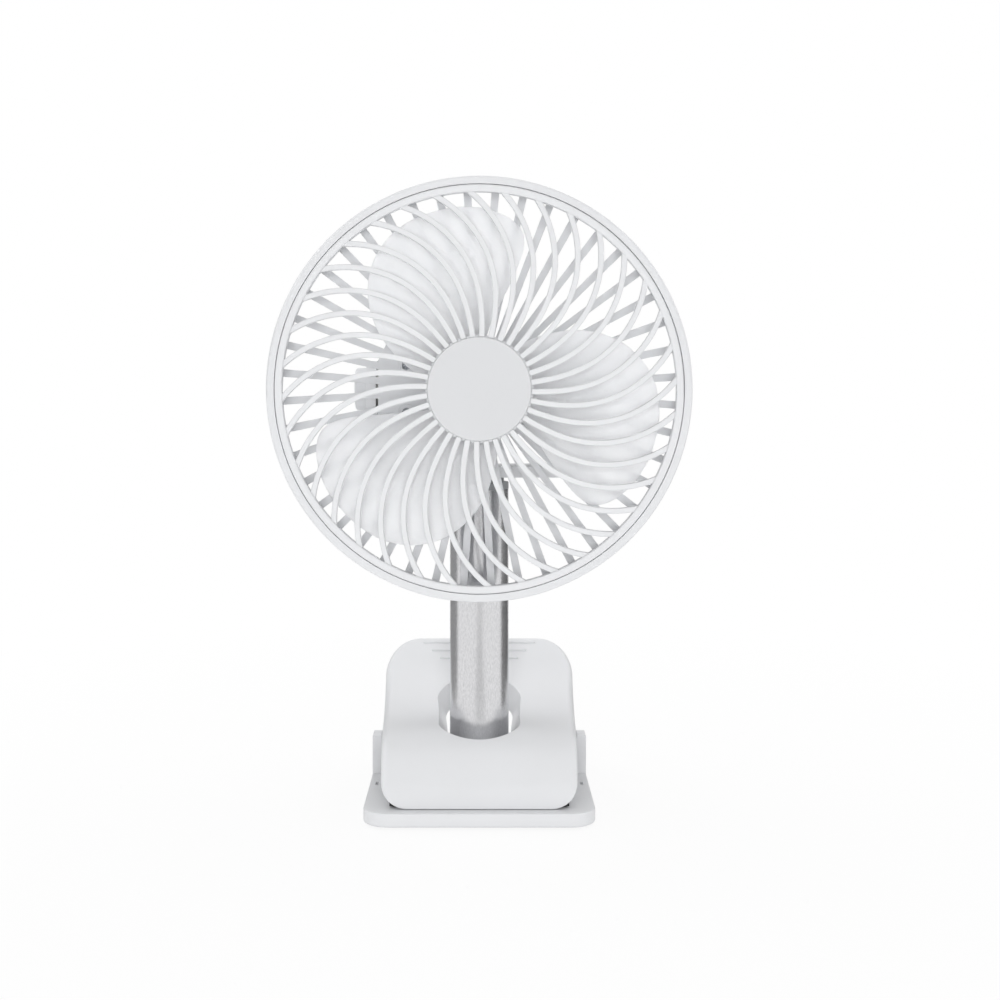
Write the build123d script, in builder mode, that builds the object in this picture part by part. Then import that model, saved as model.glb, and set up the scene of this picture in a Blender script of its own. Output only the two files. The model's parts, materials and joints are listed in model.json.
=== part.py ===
from build123d import *
import os
from math import atan2, cos, pi, radians, sin, sqrt, tan

os.makedirs("parts", exist_ok=True)

# A clip-on desk fan. Lengths are in millimetres and angles in degrees, with
# +Z up. The fan looks along -Y. The origin is on the table, below the middle
# of the pole.

# ------------------------------------------------------------ clearances
RUN = 0.06  # round a pin or shaft that turns, on the radius
SEAT = 0.1  # round a piece that is fitted into another
FREE = 0.3  # between pieces that move past each other

# ------------------------------------------------------------ base plate
MAT_DROP = 0.9  # the rubber mat stands this far below the plate
MAT_INSET = 7.0
PLATE_THICK = 5.6
PLATE_SKIN = 2.6
PLATE_WALL = 2.6
PLATE_HALF = 46.5
PLATE_FRONT = 45.0
PLATE_BACK = 57.0
PLATE_CORNER = 10.0
PLATE_TOP_ROUND = 0.5
PLATE_FOOT_ROUND = 1.1
COVER_THICK = 1.6
RIB_THICK = 1.6
PLATE_TOP = MAT_DROP + PLATE_THICK
PLATE_LENGTH = PLATE_FRONT + PLATE_BACK
PLATE_MID = (PLATE_BACK - PLATE_FRONT) / 2
COVER_TOP = MAT_DROP + COVER_THICK

# Little drain slots beside the lever
DRAIN_X = 43.4
DRAIN_Y = -1.3
DRAIN_WIDE = 1.2
DRAIN_LONG = 4.6
DRAIN_DEEP = 2.0

# ------------------------------------------------------------ clip hinge
HINGE_Y = 18.5
HINGE_UP = 11.0
HINGE_Z = PLATE_TOP + HINGE_UP
PIN_R = 1.5
PIN_INSET = 0.5
EAR_INNER = 42.5
EAR_THICK = 4.0
EAR_LONG = 9.0
EAR_HIGH = 16.7
BRACKET_X = 17.3
BRACKET_THICK = 2.6
BRACKET_HIGH = 15.0

# Torsion springs round the hinge pin
WIRE_R = 0.6
COIL_R = 2.6
COIL_PITCH = 1.7
COIL_OUTER_X = 30.0
COIL_START = 140.0  # the upper leg leaves the coil here
COIL_TURN = 1910.0
UPPER_LEG = 21.0

# ------------------------------------------------------------ pole
POLE_R = 12.5
POLE_WALL = 1.3
POLE_TOP_Z = 131.5
POLE_BORE = POLE_R - POLE_WALL
PLUG_R = POLE_BORE - SEAT
FOOT_PLUG_HIGH = 15.0
TOP_PLUG_DEEP = 14.0
TOP_PLUG_BORE = 8.5
TOP_FLANGE = 3.1
NECK_R = 10.5
NECK_HIGH = 2.1
SPINDLE_R = 5.0
CELL_R = 9.1
CELL_LONG = 65.0
CELL_CAP_R = 2.8
CELL_CAP_HIGH = 1.2
SLEEVE_FLOOR = 1.5
CONTACT_THICK = 0.8

# ------------------------------------------------------------ yoke
YOKE_BAR = 4.7
YOKE_ARM = 4.3
YOKE_DEEP = 24.0
YOKE_CORNER = 7.0
ARM_INNER = 43.2
YOKE_TILE = 2.3  # bar left under the swivel washer
BAR_Z = POLE_TOP_Z + TOP_FLANGE + NECK_HIGH + FREE
BAR_TOP = BAR_Z + YOKE_BAR
SWIVEL_WASHER_R = 7.5
SWIVEL_WASHER = 0.8
SWIVEL_HEAD = 1.4
CROSS_LONG = 2.4  # cross recess of the screw heads
CROSS_WIDE = 0.6
CROSS_DEEP = 0.7

# ------------------------------------------------------------ fan head
HEAD_Z = 174.0
HOUSING_HALF = 42.0
HOUSING_HIGH = 18.7
HOUSING_CUT_X = 3.4
HOUSING_CUT_Z = 6.7
HOUSING_WALL = 2.2
HOUSING_FRONT = 14.7
HOUSING_SPLIT = 8.0
HOUSING_BACK = 18.0
COVER_ROUND = 5.0
SCREW_X = 30.3
SCREW_Z = 9.6
POST_R = 3.3

RING_R = 85.6
RING_WALL = 2.4
RING_BACK = 16.0
RING_FRONT = 36.0
FLANGE_R = 81.4
FLANGE_THICK = 2.2
REAR_RIBS = 44
REAR_RIB_WIDE = 2.4
REAR_RIB_TIP = 3.2
REAR_RIB_TURN = 3.5  # degrees from level to the first spoke
REAR_RIB_THICK = 2.0

FRONT_RIBS = 36
FRONT_RIB_WIDE = 2.2
FRONT_RIB_DEEP = 2.2
RIB_ROOT_R = 21.6
RIB_SWEEP = 25.2  # how far a front rib bends round on its way out
RIB_BEND = 1.8  # how late it bends
FRONT_RIB_TURN = -2.6  # degrees from level to the root of the first rib
RIM_R = 82.0
RIM_SEAM = 0.35  # gap between the rim and the mouth of the ring
RIM_INNER = 79.0
RIM_FRONT = 36.8
RIM_FACE = 2.4
RIM_ROUND = 0.5
DOME_FRONT = 40.4
DOME_EDGE = 36.2
CAP_R = 20.7
CAP_FRONT = 41.0
CAP_THICK = 2.0

# Pivots of the head in the yoke
PIVOT_R = 3.0
PIVOT_HEAD_R = 5.5
PIVOT_HEAD = 1.5
PIVOT_BOSS_R = 6.0
PIVOT_BOSS = 8.0
PIVOT_DEEP = 7.0
PIVOT_CAP_R = 9.0
PIVOT_CAP_HIGH = 5.0
PIVOT_CAP_WALL = 1.4
WASHER_R = 8.0
WASHER_THICK = 0.6

# ------------------------------------------------------------ impeller
BLADES = 3
BLADE_START = 112.0
BLADE_THICK = 1.5
TIP_R = 75.0
HUB_R = 15.0
HUB_WALL = 2.0
HUB_FRONT = 34.0
HUB_BACK = 18.5
HUB_BOSS_R = 3.5

# ------------------------------------------------------------ motor
MOTOR_R = 12.0
MOTOR_WALL = 0.9
MOTOR_BACK = 6.0
MOTOR_NOSE_R = 4.9
MOTOR_NOSE = 2.6
SHAFT_R = 1.0
BUSH_R = 3.0
BUSH_LONG = 3.2
MAGNET_THICK = 1.6
AIR_GAP = 0.4

# ------------------------------------------------------------ electronics
BOARD_BACK = 10.4
BOARD_THICK = 1.2
BOARD_WIDE = 64.0
BOARD_HIGH = 24.0
BUTTON_R = 5.0
BUTTON_PROUD = 1.2
BUTTON_TRAVEL = 0.8
USB_X = 19.0
USB_WIDE = 8.9
USB_HIGH = 3.2
USB_WALL = 0.35
LIGHT_X = -16.0
LIGHT_WIDE = 7.0
LIGHT_HIGH = 1.8

# ------------------------------------------------------------ clip lever
LEVER_SHELL = 2.8
LEVER_SKIRT = 9.0
LEVER_FRONT_HALF = 39.3
LEVER_BACK_HALF = 43.3
LEVER_REAR_CORNER = 16.0
LEVER_FRONT_CORNER = 10.5
LEVER_ROUND = 2.6
LIP_GAP = 0.3
LIP_REACH = 39.5
HANDLE_REACH = 62.0
HANDLE_HIGH = 53.1
LUG_R = 6.0
LUG_BOSS_R = 4.6
LUG_BOSS_X = 34.5
LUG_OUTER_X = 41.0
SLOT_FRONT_HALF = 16.3
SLOT_BACK_HALF = 18.6
SLOT_FRONT = 23.7
SLOT_BACK = 42.0
SLOT_DRAFT = 22.0
SLOT_WALL = 2.2
SLOT_TILT = 10.0
PAD_HALF = 36.0
PAD_LONG = 9.0
PAD_THICK = 3.0


# ------------------------------------------------------------ planes
def ahead(distance):
    """Plane square to the fan axis, this far in front of the tilt axis."""
    return Plane(origin=(0, -distance, HEAD_Z), x_dir=(1, 0, 0), z_dir=(0, -1, 0))


# In this plane x runs forward along the fan axis and y is the radius.
FAN_SIDE = Plane(origin=(0, 0, HEAD_Z), x_dir=(0, -1, 0), z_dir=(-1, 0, 0))
FAN_AXIS = Axis((0, 0, HEAD_Z), (0, -1, 0))
# In this plane x runs back from the pole axis and y is the height over the plate.
LEVER_SIDE = Plane(origin=(0, 0, PLATE_TOP), x_dir=(0, 1, 0), z_dir=(1, 0, 0))


# ============================================================ base plate
# The lower jaw is a shallow moulded tray turned upside down. Its skin carries
# the pole, and two ears at its edges hold the hinge pin of the lever.
EAR_MID = EAR_INNER + EAR_THICK / 2
POST_X = 36.0
POST_FRONT_Y = -34.0
POST_BACK_Y = 46.0
BASE_SCREW_R = 1.0
BASE_SCREW_SPOTS = [(x, y) for x in (-POST_X, POST_X) for y in (POST_FRONT_Y, POST_BACK_Y)]
POLE_SCREW_R = 1.4
POLE_SCREW_RING = 6.5
PLATE_PAD_BACK = 24.0
PLATE_PAD_SINK = 1.0
PLATE_PAD_FRONT = LIP_REACH - LEVER_SHELL - 0.2
PLATE_PAD_CORNER = 5.0

with BuildPart() as base_plate:
    with BuildSketch(Plane.XY.offset(MAT_DROP)):
        with Locations((0, PLATE_MID)):
            RectangleRounded(2 * PLATE_HALF, PLATE_LENGTH, PLATE_CORNER)
    extrude(amount=PLATE_THICK)
    fillet(base_plate.edges().group_by(Axis.Z)[-1], PLATE_TOP_ROUND)
    fillet(base_plate.edges().group_by(Axis.Z)[0], PLATE_FOOT_ROUND)
    # the hollow underneath, with its stiffening ribs
    with BuildSketch(Plane.XY.offset(MAT_DROP)):
        with Locations((0, PLATE_MID)):
            RectangleRounded(
                2 * (PLATE_HALF - PLATE_WALL),
                PLATE_LENGTH - 2 * PLATE_WALL,
                PLATE_CORNER - PLATE_WALL,
            )
    extrude(amount=PLATE_THICK - PLATE_SKIN, mode=Mode.SUBTRACT)
    with BuildSketch(Plane.XY.offset(COVER_TOP)):
        with Locations((0, PLATE_MID)):
            with GridLocations(PLATE_HALF, 0, 2, 1):
                Rectangle(RIB_THICK, PLATE_LENGTH - 2 * PLATE_WALL)
            with GridLocations(0, PLATE_LENGTH / 2, 1, 2):
                Rectangle(2 * (PLATE_HALF - PLATE_WALL), RIB_THICK)
        with Locations(*BASE_SCREW_SPOTS):
            Circle(2.5 * BASE_SCREW_R)
    extrude(until=Until.NEXT)
    with BuildSketch(Plane.XY.offset(COVER_TOP)):
        with Locations(*BASE_SCREW_SPOTS):
            Circle(BASE_SCREW_R)
    extrude(amount=PLATE_THICK - COVER_THICK - 1.0, mode=Mode.SUBTRACT)
    with BuildSketch(Plane.XY.offset(MAT_DROP)):
        with PolarLocations(POLE_SCREW_RING, 3):
            Circle(POLE_SCREW_R + SEAT)
    extrude(amount=PLATE_THICK, mode=Mode.SUBTRACT)
    # ears outside the lever and brackets beside the pole
    with BuildSketch(Plane.XY.offset(PLATE_TOP - PLATE_SKIN / 2)):
        with Locations((-EAR_MID, HINGE_Y), (EAR_MID, HINGE_Y)):
            Rectangle(EAR_THICK, EAR_LONG)
    extrude(amount=EAR_HIGH + PLATE_SKIN / 2)
    ear_tops = base_plate.edges().group_by(Axis.Z)[-1]
    fillet(ear_tops, 0.6)
    with BuildSketch(Plane.XY.offset(PLATE_TOP - PLATE_SKIN / 2)):
        with Locations((-BRACKET_X, HINGE_Y), (BRACKET_X, HINGE_Y)):
            Rectangle(BRACKET_THICK, EAR_LONG)
    extrude(amount=BRACKET_HIGH + PLATE_SKIN / 2)
    with Locations((0, HINGE_Y, HINGE_Z)):
        Cylinder(PIN_R + RUN / 3, 4 * PLATE_HALF, rotation=(0, 90, 0), mode=Mode.SUBTRACT)
    # drain slots, and the seat of the rubber pad at the front
    with BuildSketch(Plane.XY.offset(PLATE_TOP)):
        with Locations((-DRAIN_X, DRAIN_Y), (DRAIN_X, DRAIN_Y)):
            Rectangle(DRAIN_WIDE, DRAIN_LONG)
    extrude(amount=-DRAIN_DEEP, mode=Mode.SUBTRACT)
    with BuildSketch(Plane.XY.offset(PLATE_TOP)):
        with Locations((0, -(PLATE_PAD_FRONT + PLATE_PAD_BACK) / 2)):
            RectangleRounded(
                2 * (PAD_HALF + SEAT),
                PLATE_PAD_FRONT - PLATE_PAD_BACK + 2 * SEAT,
                PLATE_PAD_CORNER + SEAT,
            )
    extrude(amount=-PLATE_PAD_SINK, mode=Mode.SUBTRACT)
base_plate.part.label = "base_plate"
export_step(base_plate.part, "parts/base_plate.step")

# The rubber pad that grips the underside of a shelf has three shallow grooves.
PAD_PROUD = 0.3
PAD_GROOVE = 1.6
with BuildPart() as plate_grip_pad:
    with BuildSketch(Plane.XY.offset(PLATE_TOP - PLATE_PAD_SINK)):
        with Locations((0, -(PLATE_PAD_FRONT + PLATE_PAD_BACK) / 2)):
            RectangleRounded(2 * PAD_HALF, PLATE_PAD_FRONT - PLATE_PAD_BACK, PLATE_PAD_CORNER)
    extrude(amount=PLATE_PAD_SINK + PAD_PROUD)
    with BuildSketch(Plane.XY.offset(PLATE_TOP + PAD_PROUD)):
        with Locations((0, -(PLATE_PAD_FRONT + PLATE_PAD_BACK) / 2)):
            with GridLocations(0, 2 * PAD_GROOVE, 1, 3):
                Rectangle(2 * PAD_HALF, PAD_GROOVE)
    extrude(amount=-PLATE_PAD_SINK / 2, mode=Mode.SUBTRACT)
plate_grip_pad.part.label = "plate_grip_pad"
export_step(plate_grip_pad.part, "parts/plate_grip_pad.step")

# The bottom cover closes the tray, held by four countersunk screws.
with BuildPart() as base_cover:
    with BuildSketch(Plane.XY.offset(MAT_DROP)):
        with Locations((0, PLATE_MID)):
            RectangleRounded(
                2 * (PLATE_HALF - PLATE_WALL - SEAT),
                PLATE_LENGTH - 2 * (PLATE_WALL + SEAT),
                PLATE_CORNER - PLATE_WALL - SEAT,
            )
        with Locations(*BASE_SCREW_SPOTS):
            Circle(2 * BASE_SCREW_R + SEAT, mode=Mode.SUBTRACT)
    extrude(amount=COVER_THICK)
base_cover.part.label = "base_cover"
export_step(base_cover.part, "parts/base_cover.step")

with BuildPart() as base_screws:
    with BuildSketch(Plane.XY.offset(MAT_DROP)):
        with Locations(*BASE_SCREW_SPOTS):
            Circle(2 * BASE_SCREW_R)
    extrude(amount=COVER_THICK)
    with BuildSketch(Plane.XY.offset(COVER_TOP)):
        with Locations(*BASE_SCREW_SPOTS):
            Circle(BASE_SCREW_R - RUN / 3)
    extrude(amount=PLATE_THICK - COVER_THICK - 1.2)
    with BuildSketch(Plane.XY.offset(MAT_DROP)):
        with Locations(*BASE_SCREW_SPOTS):
            Rectangle(CROSS_LONG, CROSS_WIDE)
            Rectangle(CROSS_WIDE, CROSS_LONG)
    extrude(amount=CROSS_DEEP, mode=Mode.SUBTRACT)
base_screws.part.label = "base_screws"
export_step(base_screws.part, "parts/base_screws.step")

# The mat is one sheet of rubber with rounded corners, glued under the cover.
with BuildPart() as base_mat:
    with BuildSketch(Plane.XY):
        with Locations((0, PLATE_MID)):
            RectangleRounded(
                2 * (PLATE_HALF - MAT_INSET), PLATE_LENGTH - 2 * MAT_INSET, PLATE_CORNER
            )
    extrude(amount=MAT_DROP)
    fillet(base_mat.edges().group_by(Axis.Z)[0], MAT_DROP / 3)
base_mat.part.label = "base_mat"
export_step(base_mat.part, "parts/base_mat.step")

# ============================================================ hinge
with BuildPart() as hinge_pin:
    with Locations((0, HINGE_Y, HINGE_Z)):
        Cylinder(PIN_R, 2 * (EAR_INNER + EAR_THICK - PIN_INSET), rotation=(0, 90, 0))
    chamfer(hinge_pin.edges().filter_by(GeomType.CIRCLE), 0.3)
hinge_pin.part.label = "hinge_pin"
export_step(hinge_pin.part, "parts/hinge_pin.step")


# Each torsion spring is one wire: an upper leg under the lever, the coil
# round the pin, and a lower leg on the plate.
def coil_point(turned):
    """Centre of the wire after this many degrees round the right-hand coil."""
    angle = radians(COIL_START + turned)
    return Vector(
        COIL_OUTER_X - COIL_PITCH * turned / 360,
        HINGE_Y + COIL_R * cos(angle),
        HINGE_Z + COIL_R * sin(angle),
    )


def coil_heading(turned):
    """Direction in which the wire runs there."""
    angle = radians(COIL_START + turned)
    drift = -COIL_PITCH / (2 * pi * COIL_R)
    return Vector(drift, -sin(angle), cos(angle)).normalized()


def biarc_joint(start, start_heading, end, end_heading):
    """Point where two tangent arcs of equal reach meet."""
    chord = end - start
    both = start_heading + end_heading
    a = both.dot(both) - 4
    b = -2 * chord.dot(both)
    c = chord.dot(chord)
    reach = (-b - sqrt(b * b - 4 * a * c)) / (2 * a)
    return (start + start_heading * reach + end - end_heading * reach) / 2


COIL_STEPS = round(COIL_TURN / 90)
STEP_TURN = COIL_TURN / COIL_STEPS
leg_end = coil_point(COIL_TURN)
leg_heading = coil_heading(COIL_TURN)
LOWER_LEG = (leg_end.Z - PLATE_TOP - WIRE_R) / -leg_heading.Z - 0.2
with BuildLine() as spring_wire:
    Line(coil_point(0) - coil_heading(0) * UPPER_LEG, coil_point(0))
    for step in range(COIL_STEPS):
        here = step * STEP_TURN
        there = here + STEP_TURN
        joint = biarc_joint(
            coil_point(here), coil_heading(here), coil_point(there), coil_heading(there)
        )
        first = TangentArc(coil_point(here), joint, tangent=coil_heading(here))
        TangentArc(joint, coil_point(there), tangent=first % 1)
    Line(leg_end, leg_end + leg_heading * LOWER_LEG)

with BuildPart() as hinge_spring_right:
    add(spring_wire.line)
    wire_start = Plane(
        origin=coil_point(0) - coil_heading(0) * UPPER_LEG, z_dir=coil_heading(0)
    )
    with BuildSketch(wire_start):
        Circle(WIRE_R)
    sweep()
hinge_spring_right.part.label = "hinge_spring_right"
export_step(hinge_spring_right.part, "parts/hinge_spring_right.step")

with BuildPart() as hinge_spring_left:
    add(mirror(hinge_spring_right.part, about=Plane.YZ, mode=Mode.PRIVATE))
hinge_spring_left.part.label = "hinge_spring_left"
export_step(hinge_spring_left.part, "parts/hinge_spring_left.step")

coil_samples = [coil_point(5 * n) for n in range(int(COIL_TURN / 5))]
coil_gap = min(
    (coil_samples[n] - coil_samples[m]).length - 2 * WIRE_R
    for n in range(len(coil_samples))
    for m in range(n + 36, len(coil_samples))
)
print(f"hinge spring: least gap to itself {coil_gap:.2f} mm")

# ============================================================ pole
SLEEVE_Z = PLATE_TOP + FOOT_PLUG_HIGH + 1.0
SLEEVE_R = PLUG_R - SEAT
CONTACT_Z = SLEEVE_Z + SLEEVE_FLOOR
CELL_Z = CONTACT_Z + CONTACT_THICK + 0.1
CELL_TOP = CELL_Z + CELL_LONG
SLEEVE_HIGH = CELL_TOP + CELL_CAP_HIGH + 2 * CONTACT_THICK + SLEEVE_FLOOR - SLEEVE_Z

with BuildPart() as pole_tube:
    with BuildSketch(Plane.XY.offset(PLATE_TOP)):
        Circle(POLE_R)
        Circle(POLE_BORE, mode=Mode.SUBTRACT)
    extrude(amount=POLE_TOP_Z - PLATE_TOP)
pole_tube.part.label = "pole_tube"
export_step(pole_tube.part, "parts/pole_tube.step")

with BuildPart() as pole_foot_plug:
    with BuildSketch(Plane.XY.offset(PLATE_TOP)):
        Circle(PLUG_R)
        with PolarLocations(POLE_SCREW_RING, 3):
            Circle(POLE_SCREW_R, mode=Mode.SUBTRACT)
        Circle(POLE_SCREW_RING / 2, mode=Mode.SUBTRACT)
    extrude(amount=FOOT_PLUG_HIGH)
pole_foot_plug.part.label = "pole_foot_plug"
export_step(pole_foot_plug.part, "parts/pole_foot_plug.step")

with BuildPart() as pole_screws:
    with BuildSketch(Plane.XY.offset(COVER_TOP + SEAT)):
        with PolarLocations(POLE_SCREW_RING, 3):
            Circle(1.9 * POLE_SCREW_R)
    extrude(amount=PLATE_THICK - COVER_THICK - PLATE_SKIN - SEAT)
    with BuildSketch(Plane.XY.offset(COVER_TOP + 2 * SEAT)):
        with PolarLocations(POLE_SCREW_RING, 3):
            Circle(POLE_SCREW_R - RUN / 3)
    extrude(amount=FOOT_PLUG_HIGH)
pole_screws.part.label = "pole_screws"
export_step(pole_screws.part, "parts/pole_screws.step")

# The sleeve centres the cell in the tube and holds a contact at each end.
with BuildPart() as battery_sleeve:
    with BuildSketch(Plane.XY.offset(SLEEVE_Z)):
        Circle(SLEEVE_R)
    extrude(amount=SLEEVE_HIGH)
    with BuildSketch(Plane.XY.offset(CONTACT_Z)):
        Circle(CELL_R + 2 * SEAT)
    extrude(amount=SLEEVE_HIGH - 2 * SLEEVE_FLOOR, mode=Mode.SUBTRACT)
battery_sleeve.part.label = "battery_sleeve"
export_step(battery_sleeve.part, "parts/battery_sleeve.step")

with BuildPart() as battery_cell:
    with BuildSketch(Plane.XY.offset(CELL_Z)):
        Circle(CELL_R)
    extrude(amount=CELL_LONG)
    fillet(battery_cell.edges(), 0.5)
    with BuildSketch(Plane.XY.offset(CELL_TOP)):
        Circle(CELL_CAP_R)
    extrude(amount=CELL_CAP_HIGH)
battery_cell.part.label = "battery_cell"
export_step(battery_cell.part, "parts/battery_cell.step")

with BuildPart() as battery_contacts:
    with BuildSketch(Plane.XY.offset(CONTACT_Z)):
        Circle(CELL_R - 1)
    extrude(amount=CONTACT_THICK)
    with BuildSketch(Plane.XY.offset(CELL_TOP + CELL_CAP_HIGH + 0.1)):
        Circle(CELL_R - 1)
    extrude(amount=CONTACT_THICK)
battery_contacts.part.label = "battery_contacts"
export_step(battery_contacts.part, "parts/battery_contacts.step")

# The top plug closes the tube. Its neck and spindle carry the yoke.
SPINDLE_TOP = BAR_Z + YOKE_TILE + FREE
with BuildPart() as pole_top_plug:
    with BuildSketch(Plane.XZ):
        with BuildLine():
            Polyline(
                (0, POLE_TOP_Z - TOP_PLUG_DEEP),
                (PLUG_R, POLE_TOP_Z - TOP_PLUG_DEEP),
                (PLUG_R, POLE_TOP_Z),
                (POLE_R, POLE_TOP_Z),
                (POLE_R, POLE_TOP_Z + TOP_FLANGE),
                (NECK_R, POLE_TOP_Z + TOP_FLANGE),
                (NECK_R, BAR_Z - FREE),
                (SPINDLE_R, BAR_Z - FREE),
                (SPINDLE_R, SPINDLE_TOP),
                (0, SPINDLE_TOP),
                close=True,
            )
        make_face()
    revolve(axis=Axis.Z)
    with BuildSketch(Plane.XY.offset(POLE_TOP_Z - TOP_PLUG_DEEP)):
        Circle(TOP_PLUG_BORE)
    extrude(amount=TOP_PLUG_DEEP - 2.0, mode=Mode.SUBTRACT)
    with BuildSketch(Plane.XY.offset(SPINDLE_TOP)):
        Circle(POLE_SCREW_R)
    extrude(amount=-9.0, mode=Mode.SUBTRACT)
    flange_edges = pole_top_plug.edges().filter_by(GeomType.CIRCLE).filter_by(
        lambda edge: abs(edge.radius - POLE_R) < 0.01
    )
    fillet(flange_edges, 0.4)
pole_top_plug.part.label = "pole_top_plug"
export_step(pole_top_plug.part, "parts/pole_top_plug.step")

# ============================================================ yoke
PIVOT_Z = HEAD_Z
ARM_OUTER = ARM_INNER + YOKE_ARM
ARM_TOP_R = YOKE_DEEP / 2
with BuildPart() as yoke:
    # U seen from the front
    with BuildSketch(Plane.XZ):
        with BuildLine():
            FilletPolyline(
                (-ARM_OUTER, PIVOT_Z + ARM_TOP_R),
                (-ARM_OUTER, BAR_Z),
                (ARM_OUTER, BAR_Z),
                (ARM_OUTER, PIVOT_Z + ARM_TOP_R),
                radius=YOKE_CORNER,
            )
            Line((ARM_OUTER, PIVOT_Z + ARM_TOP_R), (ARM_INNER, PIVOT_Z + ARM_TOP_R))
            FilletPolyline(
                (ARM_INNER, PIVOT_Z + ARM_TOP_R),
                (ARM_INNER, BAR_TOP),
                (-ARM_INNER, BAR_TOP),
                (-ARM_INNER, PIVOT_Z + ARM_TOP_R),
                radius=YOKE_CORNER - YOKE_ARM,
            )
            Line((-ARM_INNER, PIVOT_Z + ARM_TOP_R), (-ARM_OUTER, PIVOT_Z + ARM_TOP_R))
        make_face()
    extrude(amount=YOKE_DEEP / 2, both=True)
    # round ends seen from the side
    with BuildSketch(Plane.YZ):
        with Locations((0, PIVOT_Z)):
            Circle(ARM_TOP_R)
        with Locations((0, (PIVOT_Z + BAR_Z) / 2)):
            Rectangle(YOKE_DEEP, PIVOT_Z - BAR_Z)
    extrude(amount=2 * ARM_OUTER, both=True, mode=Mode.INTERSECT)
    with Locations((0, 0, PIVOT_Z)):
        Cylinder(PIVOT_R + RUN, 4 * ARM_OUTER, rotation=(0, 90, 0), mode=Mode.SUBTRACT)
    with BuildSketch(Plane.XY.offset(BAR_Z)):
        Circle(SPINDLE_R + RUN)
    extrude(amount=YOKE_BAR, mode=Mode.SUBTRACT)
    with BuildSketch(Plane.XY.offset(BAR_Z + YOKE_TILE)):
        Circle(SWIVEL_WASHER_R + FREE)
    extrude(amount=YOKE_BAR, mode=Mode.SUBTRACT)
yoke.part.label = "yoke"
export_step(yoke.part, "parts/yoke.step")

with BuildPart() as swivel_washer:
    with BuildSketch(Plane.XY.offset(SPINDLE_TOP)):
        Circle(SWIVEL_WASHER_R)
        Circle(POLE_SCREW_R + SEAT, mode=Mode.SUBTRACT)
    extrude(amount=SWIVEL_WASHER)
swivel_washer.part.label = "swivel_washer"
export_step(swivel_washer.part, "parts/swivel_washer.step")

with BuildPart() as swivel_screw:
    with BuildSketch(Plane.XY.offset(SPINDLE_TOP + SWIVEL_WASHER)):
        Circle(2 * POLE_SCREW_R)
    extrude(amount=SWIVEL_HEAD)
    with BuildSketch(Plane.XY.offset(SPINDLE_TOP + SWIVEL_WASHER)):
        Circle(POLE_SCREW_R - RUN / 3)
    extrude(amount=-8.0)
    with BuildSketch(Plane.XY.offset(SPINDLE_TOP + SWIVEL_WASHER + SWIVEL_HEAD)):
        Rectangle(CROSS_LONG, CROSS_WIDE)
        Rectangle(CROSS_WIDE, CROSS_LONG)
    extrude(amount=-CROSS_DEEP, mode=Mode.SUBTRACT)
swivel_screw.part.label = "swivel_screw"
export_step(swivel_screw.part, "parts/swivel_screw.step")

# A cap hides each pivot screw. Its hollow clears the head of the screw.
with BuildPart(Plane.YZ.offset(ARM_OUTER)) as pivot_cap_right:
    with BuildSketch(Plane.YZ.offset(ARM_OUTER)):
        with Locations((0, PIVOT_Z)):
            Circle(PIVOT_CAP_R)
    extrude(amount=PIVOT_CAP_HIGH)
    fillet(pivot_cap_right.edges().group_by(Axis.X)[-1], 1.2)
    with BuildSketch(Plane.YZ.offset(ARM_OUTER)):
        with Locations((0, PIVOT_Z)):
            Circle(PIVOT_CAP_R - PIVOT_CAP_WALL)
    extrude(amount=PIVOT_CAP_HIGH - PIVOT_CAP_WALL, mode=Mode.SUBTRACT)
pivot_cap_right.part.label = "pivot_cap_right"
export_step(pivot_cap_right.part, "parts/pivot_cap_right.step")

with BuildPart() as pivot_cap_left:
    add(mirror(pivot_cap_right.part, about=Plane.YZ, mode=Mode.PRIVATE))
pivot_cap_left.part.label = "pivot_cap_left"
export_step(pivot_cap_left.part, "parts/pivot_cap_left.step")

# Friction washers between the housing and the arms hold the tilt.
pivot_sides = (1, -1)
with BuildPart() as friction_washers:
    for side in pivot_sides:
        with Locations((side * (ARM_INNER - WASHER_THICK / 2), 0, PIVOT_Z)):
            Cylinder(WASHER_R, WASHER_THICK, rotation=(0, 90, 0))
            Cylinder(PIVOT_R + RUN, WASHER_THICK, rotation=(0, 90, 0), mode=Mode.SUBTRACT)
friction_washers.part.label = "friction_washers"
export_step(friction_washers.part, "parts/friction_washers.step")

PIVOT_SCREW_IN = HOUSING_HALF - PIVOT_DEEP
PIVOT_SCREW_OUT = ARM_OUTER + FREE
with BuildPart() as pivot_screws:
    for side in pivot_sides:
        with Locations((side * (PIVOT_SCREW_IN + PIVOT_SCREW_OUT) / 2, 0, PIVOT_Z)):
            Cylinder(PIVOT_R, PIVOT_SCREW_OUT - PIVOT_SCREW_IN, rotation=(0, 90, 0))
        with Locations((side * (PIVOT_SCREW_OUT + PIVOT_HEAD / 2), 0, PIVOT_Z)):
            Cylinder(PIVOT_HEAD_R, PIVOT_HEAD, rotation=(0, 90, 0))
pivot_screws.part.label = "pivot_screws"
export_step(pivot_screws.part, "parts/pivot_screws.step")


# ============================================================ housing
def housing_outline(inset=0.0):
    """Corners of the wide housing, each cut off, drawn in by `inset`."""
    half = HOUSING_HALF - inset
    high = HOUSING_HIGH - inset
    return [
        (half, high - HOUSING_CUT_Z),
        (half - HOUSING_CUT_X, high),
        (HOUSING_CUT_X - half, high),
        (-half, high - HOUSING_CUT_Z),
        (-half, HOUSING_CUT_Z - high),
        (HOUSING_CUT_X - half, -high),
        (half - HOUSING_CUT_X, -high),
        (half, HOUSING_CUT_Z - high),
    ]


SCREW_SPOTS = [(x, z) for x in (-SCREW_X, SCREW_X) for z in (-SCREW_Z, SCREW_Z)]
HOUSING_SCREW_R = 1.1
HOUSING_HEAD_R = 1.7
HOUSING_HEAD = 1.4

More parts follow.
